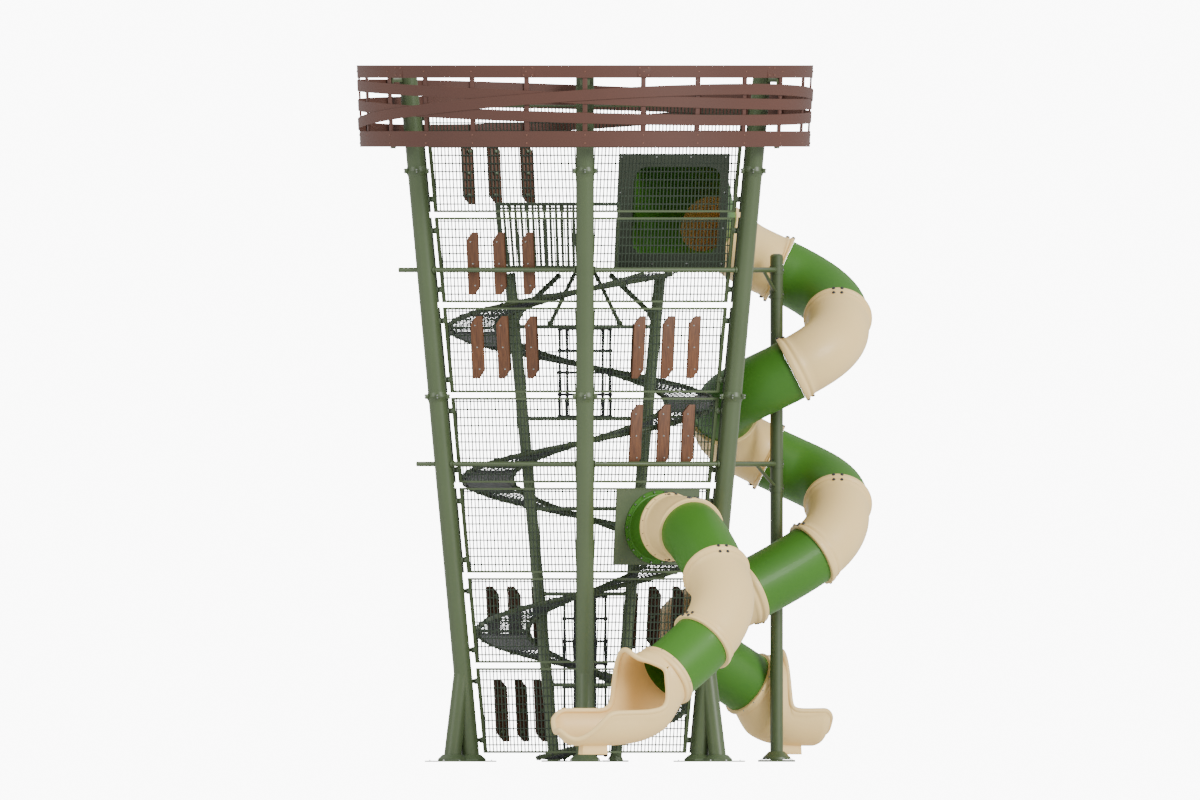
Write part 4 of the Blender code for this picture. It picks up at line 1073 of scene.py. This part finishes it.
def skin(shape, sections):
    """Adds a closed ring of sections, such as outside then inside of a tube."""
    rings = [[shape.verts.new(point) for point in section] for section in sections]
    count = len(rings[0])
    for near, far in zip(rings, rings[1:] + rings[:1]):
        for i in range(count):
            j = (i + 1) % count
            shape.faces.new((near[i], near[j], far[j], far[i]))


BEAD_PROFILE = ((0.0, 0.024), (0.0015, 0.033), (0.006, 0.0380), (0.012, 0.0395), (0.030, 0.0395),
                (0.040, 0.036), (0.047, 0.026), (0.053, 0.017), (0.059, 0.0135), (0.066, 0.0165),
                (0.076, 0.0200), (0.088, 0.0180), (0.098, 0.010), (0.108, 0.003))


def slide_section(name, node, at, fall, begin, end, sandy):
    """One hollow section: a plain green tube, or a sand bend with its two flanges."""
    begin, end = begin + 0.0005, end - 0.0005
    body = TUBE_RADIUS + (0.003 if sandy else -0.003)
    margin = BEAD_PROFILE[-1][0] if sandy else 0
    count = max(int((end - begin - 2 * margin) / 0.04), 3)
    stations = [(begin + margin + (end - begin - 2 * margin) * i / count, body)
                for i in range(count + 1)]
    if sandy:
        stations = ([(begin + run, TUBE_RADIUS + rise) for run, rise in BEAD_PROFILE[:-1]]
                    + stations
                    + [(end - run, TUBE_RADIUS + rise) for run, rise in BEAD_PROFILE[-2::-1]])
    outer, inner = [], []
    for distance, radius in stations:
        frame_here = slide_frame(at, fall, distance)
        outer.append(ring_points(*frame_here, radius))
        inner.append(ring_points(*frame_here, TUBE_RADIUS - TUBE_WALL - 0.007))
    shape = bmesh.new()
    skin(shape, outer + inner[::-1])
    item = piece(name, shape, sand_plastic if sandy else green_plastic, 50)
    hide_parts(node)


green_plastic = coat("green_plastic", (0.056, 0.190, 0.015), (0.046, 0.162, 0.012), 0.50, grain=30,
                     bump=0.02, patch=1.0)
sand_plastic = coat("sand_plastic", (0.960, 0.695, 0.300), (0.900, 0.635, 0.268), 0.42, grain=30,
                    bump=0.03, patch=1.2)
for plastic in (green_plastic, sand_plastic):
    shader = plastic.node_tree.nodes["Principled BSDF"]
    shader.inputs["Coat Weight"].default_value = 0.05
    shader.inputs["Specular IOR Level"].default_value = 0.35

half_straight = SPIRAL_HALF - BEND_RADIUS
SIDE_RUN = 2 * half_straight
long_start = (outward(HOOD_ANGLE) * (post_distance(6.78) * COS30 - PANEL_SETBACK + HOOD_DEPTH)
              + outward(HOOD_ANGLE + 90) * UPPER_HOLE_X).xy
spiral_back = SPIRAL_Y + SPIRAL_HALF
bend_reach = BEND_RADIUS * math.tan(math.radians(30))
run_to_bend = (spiral_back - long_start.y) / math.sin(math.radians(60)) - bend_reach
bend_end_x = long_start.x + (spiral_back - long_start.y) / math.tan(math.radians(60)) + bend_reach
long_moves = [("straight", run_to_bend), ("bend", -60), ("straight", SPIRAL_X - bend_end_x),
              ("straight", half_straight), ("bend", -90)]
long_moves += [("straight", SIDE_RUN), ("bend", -90)] * 4
long_moves += [("straight", SIDE_RUN), ("bend", -65), ("straight", 0.83), ("bend", -173.5),
               ("straight", 0.60)]
long_at, long_length = plan_points(long_start, HOOD_ANGLE, long_moves)
long_joints = joint_distances(long_moves, (0, 3, 5, 7, 9, 11, 13, 15, 16, 17, 18))
long_fall = smooth_fall(long_joints, (6.63, 6.06, 5.48, 4.828, 4.292, 3.744, 3.19, 2.549, 2.11,
                                      1.30, 0.973))
short_start = (outward(-60) * (post_distance(2.87) * COS30 - PANEL_SETBACK + DISC_OUT)
               + outward(30) * LOWER_HOLE_X).xy
short_moves = [("straight", 0.62), ("bend", -12), ("straight", 0.97), ("straight", 0.2),
               ("bend", -68), ("straight", 0.08), ("straight", 0.56)]
short_at, short_length = plan_points(short_start, -60, short_moves)
short_joints = joint_distances(short_moves, (0, 2, 3, 6, 7))
short_fall = smooth_fall(short_joints, (2.90, 2.84, 2.34, 1.47, 1.08))

slide_bolts = []
for label, at, fall, joints in (("long", long_at, long_fall, long_joints),
                                ("short", short_at, short_fall, short_joints)):
    for i in range(len(joints) - 1):
        sandy = i % 2 == 0
        kind = f"{label}_slide_{'bend' if sandy else 'tube'}_{i // 2 + 1}"
        begin = NECK if kind == "short_slide_bend_1" else joints[i]
        slide_section(f"{kind}_shell", kind, at, fall, begin, joints[i + 1], sandy)
    for number, joint in enumerate(joints):
        for side in (-1, 1):
            if (number == 0 and side < 0) or (number == len(joints) - 1 and side > 0):
                continue
            sandy = (number if side > 0 else number - 1) % 2 == 0
            if not sandy:
                continue
            spot = NECK if label == "short" and number == 0 else joint
            for run, rise in ((0.022, 0.0385), (0.082, 0.0185)):
                centre, left, up = slide_frame(at, fall, spot + side * run)
                for middle in (90, 270):
                    for offset in (-7, 7):
                        turn = math.radians(middle + offset)
                        spoke = left * math.cos(turn) + up * math.sin(turn)
                        slide_bolts.append((centre + spoke * (TUBE_RADIUS + rise), spoke))
bolts("slide_bolts", slide_bolts, 0.023, 0.015, black_plastic)

# Hood and collar: moulded green transitions that fill each entry plate's hole and narrow
# to the round of the first bend, the short slide's one a flat disc on the plate.
def round_square(half, tall, corner, count):
    """Outline of an upright rectangle with round corners, by even angle."""
    points = []
    for i in range(count):
        turn = math.tau * i / count
        dx, dy = math.cos(turn), math.sin(turn)
        reach = min(half / max(abs(dx), 1e-6), tall / max(abs(dy), 1e-6))
        px, py = dx * reach, dy * reach
        if abs(px) > half - corner and abs(py) > tall - corner:
            cx, cy = math.copysign(half - corner, px), math.copysign(tall - corner, py)
            dot = dx * cx + dy * cy
            reach = dot + math.sqrt(max(dot * dot - (cx * cx + cy * cy) + corner * corner, 0))
            px, py = dx * reach, dy * reach
        points.append((px, py))
    return points


def transition(name, node, angle, entry, outline, hole_x, at, fall, begin, profile):
    """A shell from an outline on a face to the round start of a slide."""
    place = face_frame(angle)
    middle = (entry[2] + entry[3]) / 2 * SLOPE
    centre, left, up = slide_frame(at, fall, begin)
    sections = []
    for wall in (0, 1):
        rings = []
        for share, scale, lift, grow in profile:
            ring = []
            for x, y in outline:
                turn = math.atan2(y, x)
                spoke = left * math.cos(turn) + up * math.sin(turn)
                flat = place @ Vector((x * (scale - 0.03 * wall) + hole_x,
                                       y * (scale - 0.03 * wall) + middle, lift))
                far = centre - left.cross(up) * 0.001 + spoke * (
                    TUBE_RADIUS + grow - (grow + 0.019) * wall)
                ring.append(flat.lerp(far, share))
            rings.append(ring)
        sections += rings if wall == 0 else rings[::-1]
    shape = bmesh.new()
    skin(shape, sections)
    item = piece(name, shape, green_plastic, 40)
    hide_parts(node)


HOOD_PROFILE = [(0, 1.03, 0.011, 0.02), (0, 1.03, 0.026, 0.02), (0, 1.015, 0.032, 0.02),
                (0, 1.0, 0.08, 0.02), (0, 0.995, 0.16, 0.02), (0.05, 0.985, 0.20, 0.02)]
HOOD_PROFILE += [(0.05 + 0.95 * (1 - math.cos(math.pi * i / 12)) / 2, 0.985 - 0.01 * i / 12, 0.20,
                  0.02) for i in range(1, 12)] + [(1, 0.975, 0.20, 0.0)]
transition("long_slide_hood_shell", "long_slide_hood", 30, UPPER_ENTRY,
           round_square(0.62, 0.54, 0.17, 96), UPPER_HOLE_X, long_at, long_fall, 0,
           HOOD_PROFILE)
disc = [(0.415 * math.cos(math.tau * i / 72), 0.415 * math.sin(math.tau * i / 72))
        for i in range(72)]
DISC_PROFILE = [(0, 1.09, 0.011, 0.02), (0, 1.095, 0.016, 0.02), (0, 1.095, 0.026, 0.02),
                (0, 1.085, 0.031, 0.02), (0, 1.02, 0.032, 0.02), (0, 1.01, 0.036, 0.02),
                (0, 1.0, 0.050, 0.02), (0, 0.985, 0.054, 0.02), (0, 0.965, 0.055, 0.02),
                (0.1, 0.95, 0.058, 0.012), (0.4, 0.94, 0.06, 0.008), (1, 0.9, 0.06, 0.0)]
transition("short_slide_disc", "short_slide_collar", 270, LOWER_ENTRY, disc, LOWER_HOLE_X,
           short_at, short_fall, NECK, DISC_PROFILE)
neck_centre, neck_left, neck_up = slide_frame(short_at, short_fall, NECK + 0.046)
disc_place = face_frame(270)
disc_middle = (LOWER_ENTRY[2] + LOWER_ENTRY[3]) / 2 * SLOPE
disc_bolts, neck_bolts = [], []
for step in range(16):
    turn = math.tau * (step + 0.5) / 16
    spoke = neck_left * math.cos(turn) + neck_up * math.sin(turn)
    neck_bolts.append((neck_centre + spoke * (TUBE_RADIUS + 0.025), neck_left.cross(neck_up)))
    spot = Vector((math.cos(turn) * 0.437 + LOWER_HOLE_X, math.sin(turn) * 0.437 + disc_middle, 0.031))
    disc_bolts.append((disc_place @ spot, disc_place.to_3x3() @ Vector((0, 0, 1))))
bolts("disc_bolts", disc_bolts, 0.010, 0.006, green_plastic)
bolts("neck_bolts", neck_bolts, 0.008, 0.006, rust_paint)

# Exits: sand mouldings that open from the full tube to a trough. The hood stays high on one
# side and is cut low on the other, with a rolled rim, a rounded nose and a moulded foot.
EXIT_LEFT = ((0, 121), (0.10, 121), (0.135, 108), (0.165, 94), (0.19, 87), (0.22, 85), (0.28, 88),
             (0.35, 90), (0.45, 93), (0.60, 94), (0.65, 90), (0.69, 76), (0.74, 62), (0.79, 48),
             (0.84, 38), (0.90, 34), (1, 34))
EXIT_RIGHT = ((0, 239), (0.10, 239), (0.13, 212), (0.17, 204), (0.28, 194), (0.325, 180),
              (0.345, 155), (0.36, 126), (0.375, 108), (0.41, 100), (0.50, 98), (0.90, 99),
              (0.95, 88), (1, 62))
EXIT_RISE = ((0, 0), (0.03, 0), (0.10, 0.34), (0.20, 0.84), (0.30, 1.06), (0.35, 1.0),
             (0.38, 0.5), (0.44, 0), (1, 0))
EXIT_SIZE = ((0, 1), (0.86, 1), (0.93, 0.94), (0.97, 0.84), (1, 0.66))
EXIT_LIFT = ((0, 0), (0.86, 0), (0.93, 0.012), (0.97, 0.045), (1, 0.10))
EXIT_FLOOR = 0.19
EXIT_FALL = 6
EXIT_EASE = (0.18, 0.50)
EXIT_STEPS = 40
EXIT_ROWS = 100
EXIT_POINTS = 56
RIM_FIRST = 10
RIM_RADIUS = 0.033
RIM_INSET = 0.026
FOOT_END = 0.091
EXIT_COLLAR = ((0.0015, 0.028), (0.004, 0.036), (0.028, 0.039), (0.036, 0.037), (0.043, 0.030),
               (0.050, 0.022), (0.060, 0.020), (0.085, 0.020), (0.093, 0.016), (0.100, 0.006),
               (0.104, -0.006))


def value_at(line, share):
    """Value of a line of (share, value) pairs at a share."""
    near, far = next(pair for pair in zip(line, line[1:]) if share <= pair[1][0])
    return near[1] + (far[1] - near[1]) * (share - near[0]) / (far[0] - near[0])


def exit_table():
    """The rows of a mouth: share, size, lift, left edge, right edge and rise, evened out."""
    rows = [[step / EXIT_ROWS] + [value_at(line, step / EXIT_ROWS) for line in
                                  (EXIT_SIZE, EXIT_LIFT, EXIT_LEFT, EXIT_RIGHT, EXIT_RISE)]
            for step in range(EXIT_ROWS + 1)]
    for turn in range(6):
        evened = [[(low + 2 * mid + high) / 4 for low, mid, high in zip(*three)]
                  for three in zip(rows, rows[1:], rows[2:])]
        rows = rows[:1] + evened + rows[-1:]
    return rows


def exit_floor(at, fall, end, length, bend, share):
    """Floor point, heading and slope of an exit at a share of its length."""
    spot, turn = at(end - 0.0001)
    place = spot.copy()
    count = max(int(EXIT_STEPS * share), 1)
    for step in range(count):
        heading = turn + math.radians(bend) * share * (step + 0.5) / count
        place += Vector((math.cos(heading), math.sin(heading))) * (length * share / count)
    drop = fall(end)[0] - TUBE_RADIUS - EXIT_FLOOR
    height = EXIT_FLOOR + drop * (1 - share) ** EXIT_FALL
    slope = -EXIT_FALL * drop * (1 - share) ** (EXIT_FALL - 1) / length
    return (CENTRE + Vector((place.x, place.y, height)), turn + math.radians(bend) * share, slope)


def exit_row(at, fall, end, length, bend, values, inset, band):
    """One cross line of a mouth, with the band along its edges raised."""
    share, size, lift, left_edge, right_edge, rise = values
    floor, heading, slope = exit_floor(at, fall, end, length, bend, share)
    start, start_left, start_up = slide_frame(at, fall, end)
    start = start + start_left.cross(start_up) * (0.001 + share * length)
    ease = [min(max(share - 0.02, 0) / reach, 1) for reach in EXIT_EASE]
    ease = [value * value * (3 - 2 * value) for value in ease]
    centre = start.lerp(floor + Vector((0, 0, TUBE_RADIUS + lift)), ease[0])
    left = start_left.lerp(Vector((-math.sin(heading), math.cos(heading), 0)), ease[1]).normalized()
    up = start_up.lerp(Vector((0, 0, 1)), ease[1]).normalized()
    row = []
    for i in range(EXIT_POINTS + 1):
        swing = math.radians((left_edge + right_edge) * i / EXIT_POINTS - right_edge)
        raised = inset + band * min(max(4 - min(i, EXIT_POINTS - i), 0), 2) / 2
        radius = TUBE_RADIUS * size - RIM_INSET + raised
        upright = TUBE_RADIUS * max(size, 0.85) * (1 + rise * max(-math.cos(swing), 0) ** 0.5)
        row.append(centre + left * math.sin(swing) * radius
                   - up * math.cos(swing) * (upright - RIM_INSET * 0.5 + raised))
    return row


def evenly(line, count):
    """The points of a closed line, spread evenly along it and softened."""
    lengths = [0]
    for near, far in zip(line, line[1:] + line[:1]):
        lengths.append(lengths[-1] + (far - near).length)
    closed = line + line[:1]
    points = []
    leg = 0
    for step in range(count):
        run = lengths[-1] * step / count
        while lengths[leg + 1] < run:
            leg += 1
        share = (run - lengths[leg]) / max(lengths[leg + 1] - lengths[leg], 1e-9)
        points.append(closed[leg].lerp(closed[leg + 1], share))
    for turn in range(6):
        points = [(points[i - 1] + points[i] * 2 + points[(i + 1) % count]) / 4
                  for i in range(count)]
    return points


def exit_shell(name, node, at, fall, end, length, bend, foot_share):
    """The slide's mouth: outside, inside, rolled rim, joint flange and foot."""
    shape = bmesh.new()
    table = exit_table()
    layers = []
    for inset, band in ((0.006, 0.014), (-0.008, 0)):
        rows = []
        for j, values in enumerate(table):
            raised = band * min(max((j - RIM_FIRST) / 4, 0), 1)
            rows.append([shape.verts.new(point) for point in
                         exit_row(at, fall, end, length, bend, values, inset, raised)])
        layers.append(rows)
    for layer in layers:
        for near, far in zip(layer, layer[1:]):
            for i in range(EXIT_POINTS):
                shape.faces.new((near[i], near[i + 1], far[i + 1], far[i]))
    for side in (0, EXIT_POINTS):
        for j in range(EXIT_ROWS):
            shape.faces.new((layers[0][j][side], layers[0][j + 1][side], layers[1][j + 1][side],
                             layers[1][j][side]))
    for j in (0, EXIT_ROWS):
        for i in range(EXIT_POINTS):
            shape.faces.new((layers[0][j][i], layers[0][j][i + 1], layers[1][j][i + 1],
                             layers[1][j][i]))
    around = [(j, 0) for j in range(RIM_FIRST, EXIT_ROWS + 1)]
    around += [(EXIT_ROWS, i) for i in range(1, EXIT_POINTS)]
    around += [(j, EXIT_POINTS) for j in range(EXIT_ROWS, RIM_FIRST - 1, -1)]
    rim = [layers[0][j][i].co.lerp(layers[1][j][i].co, 0.5) for j, i in around]
    sweep(shape, evenly(rim, 220), RIM_RADIUS, 14, closed=True)
    rings_out, rings_in = [], []
    for run, rise in EXIT_COLLAR:
        start, left, up = slide_frame(at, fall, end)
        start = start + left.cross(up) * run
        rings_out.append(ring_points(start, left, up, TUBE_RADIUS + rise))
        rings_in.append(ring_points(start, left, up, TUBE_RADIUS - 0.012))
    skin(shape, rings_out + rings_in[::-1])
    middle, heading, slope = exit_floor(at, fall, end, length, bend, foot_share)
    forward = Vector((math.cos(heading), math.sin(heading), 0))
    side = Vector((-math.sin(heading), math.cos(heading), 0))
    sections = []
    for rise, wide, deep in ((FOOT_END, 0.170, 0.075), (FOOT_END + 0.006, 0.174, 0.079),
                             (FOOT_END + 0.05, 0.171, 0.076), (1, 0.168, 0.074)):
        ring = []
        for x, y in round_square(1, 1, 0.25, 32):
            corner = middle + forward * x * wide + side * y * deep
            corner.z = (middle.z + slope * x * wide + 0.022) if rise == 1 else rise
            ring.append(shape.verts.new(corner))
        sections.append(ring)
    for near, far in zip(sections, sections[1:]):
        for i in range(32):
            j = (i + 1) % 32
            shape.faces.new((near[i], near[j], far[j], far[i]))
    shape.faces.new(sections[0][::-1])
    shape.faces.new(sections[-1])
    item = piece(name, shape, sand_plastic, 50)
    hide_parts(node)


exit_shell("long_slide_mouth_shell", "long_slide_exit", long_at, long_fall, long_length, 1.06,
           -10, 0.53)
exit_shell("short_slide_mouth_shell", "short_slide_exit", short_at, short_fall, short_length,
           1.52, -29, 0.69)
exit_bolts = []
for at, fall, end in ((long_at, long_fall, long_length), (short_at, short_fall, short_length)):
    centre, left, up = slide_frame(at, fall, end)
    along = left.cross(up)
    for step in range(14):
        turn = math.tau * (step + 0.5) / 14
        spoke = left * math.cos(turn) + up * math.sin(turn)
        exit_bolts.append((centre + along * 0.018 + spoke * (TUBE_RADIUS + 0.034), spoke))
bolts("exit_bolts", exit_bolts, 0.011, 0.008, zinc)

# Mast: a 160 mm pipe with a domed cap behind the right posts, welded to a base plate, with
# two bolted arms to the tower, their braces, and bolted collars round the pipe.
MAST_PLACE = Vector((2.36, 2.44, 0))
MAST_RADIUS = 0.08
MAST_TOP = 6.26
shape = bmesh.new()
mast_foot = CENTRE + MAST_PLACE
rod(shape, mast_foot + Vector((0, 0, 0.02)), mast_foot + Vector((0, 0, MAST_TOP - 0.03)),
    MAST_RADIUS, 48)
for low, high, near, far in ((MAST_TOP - 0.03, MAST_TOP - 0.012, 0.08, 0.068),
                             (MAST_TOP - 0.012, MAST_TOP, 0.068, 0.035),
                             (0.03, 0.06, 0.18, 0.17), (0.06, 0.13, 0.17, 0.095)):
    rod(shape, mast_foot + Vector((0, 0, low)), mast_foot + Vector((0, 0, high)), near, 40, far)
block(shape, (0.46, 0.46, 0.026), Matrix.Translation(mast_foot + Vector((0, 0, 0.0135))), 0.004)
mast_bolts = []
for dx in (-0.19, 0.19):
    for dy in (-0.19, 0.19):
        mast_bolts.append((mast_foot + Vector((dx, dy, 0.03)), Vector((0, 0, 1))))
for height in BRACES:
    near = post_axis(30, height)
    far = mast_foot + Vector((0, 0, height))
    along = (near - far).normalized()
    reach = (near - far).length - POST_RADIUS
    rod(shape, far, far + along * reach, 0.033, 24)
    rod(shape, mast_foot + Vector((0, 0, height - 0.30)), far + along * reach * 0.45, 0.022, 20)
    rod(shape, far + along * (reach - 0.03), far + along * (reach - 0.004), 0.055, 20)
    for shift in (0, -0.30):
        rod(shape, mast_foot + Vector((0, 0, height + shift - 0.05)),
            mast_foot + Vector((0, 0, height + shift + 0.05)), MAST_RADIUS + 0.008, 32)
        for turn in (-150, -30, 30, 150):
            side = outward(turn)
            spot = mast_foot + Vector((0, 0, height + shift)) + side * (MAST_RADIUS + 0.011)
            mast_bolts.append((spot, side))
item = piece("mast_pipe", shape, post_paint)
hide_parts("slide_mast")
bolts("mast_bolts", mast_bolts, 0.013, 0.010, zinc)
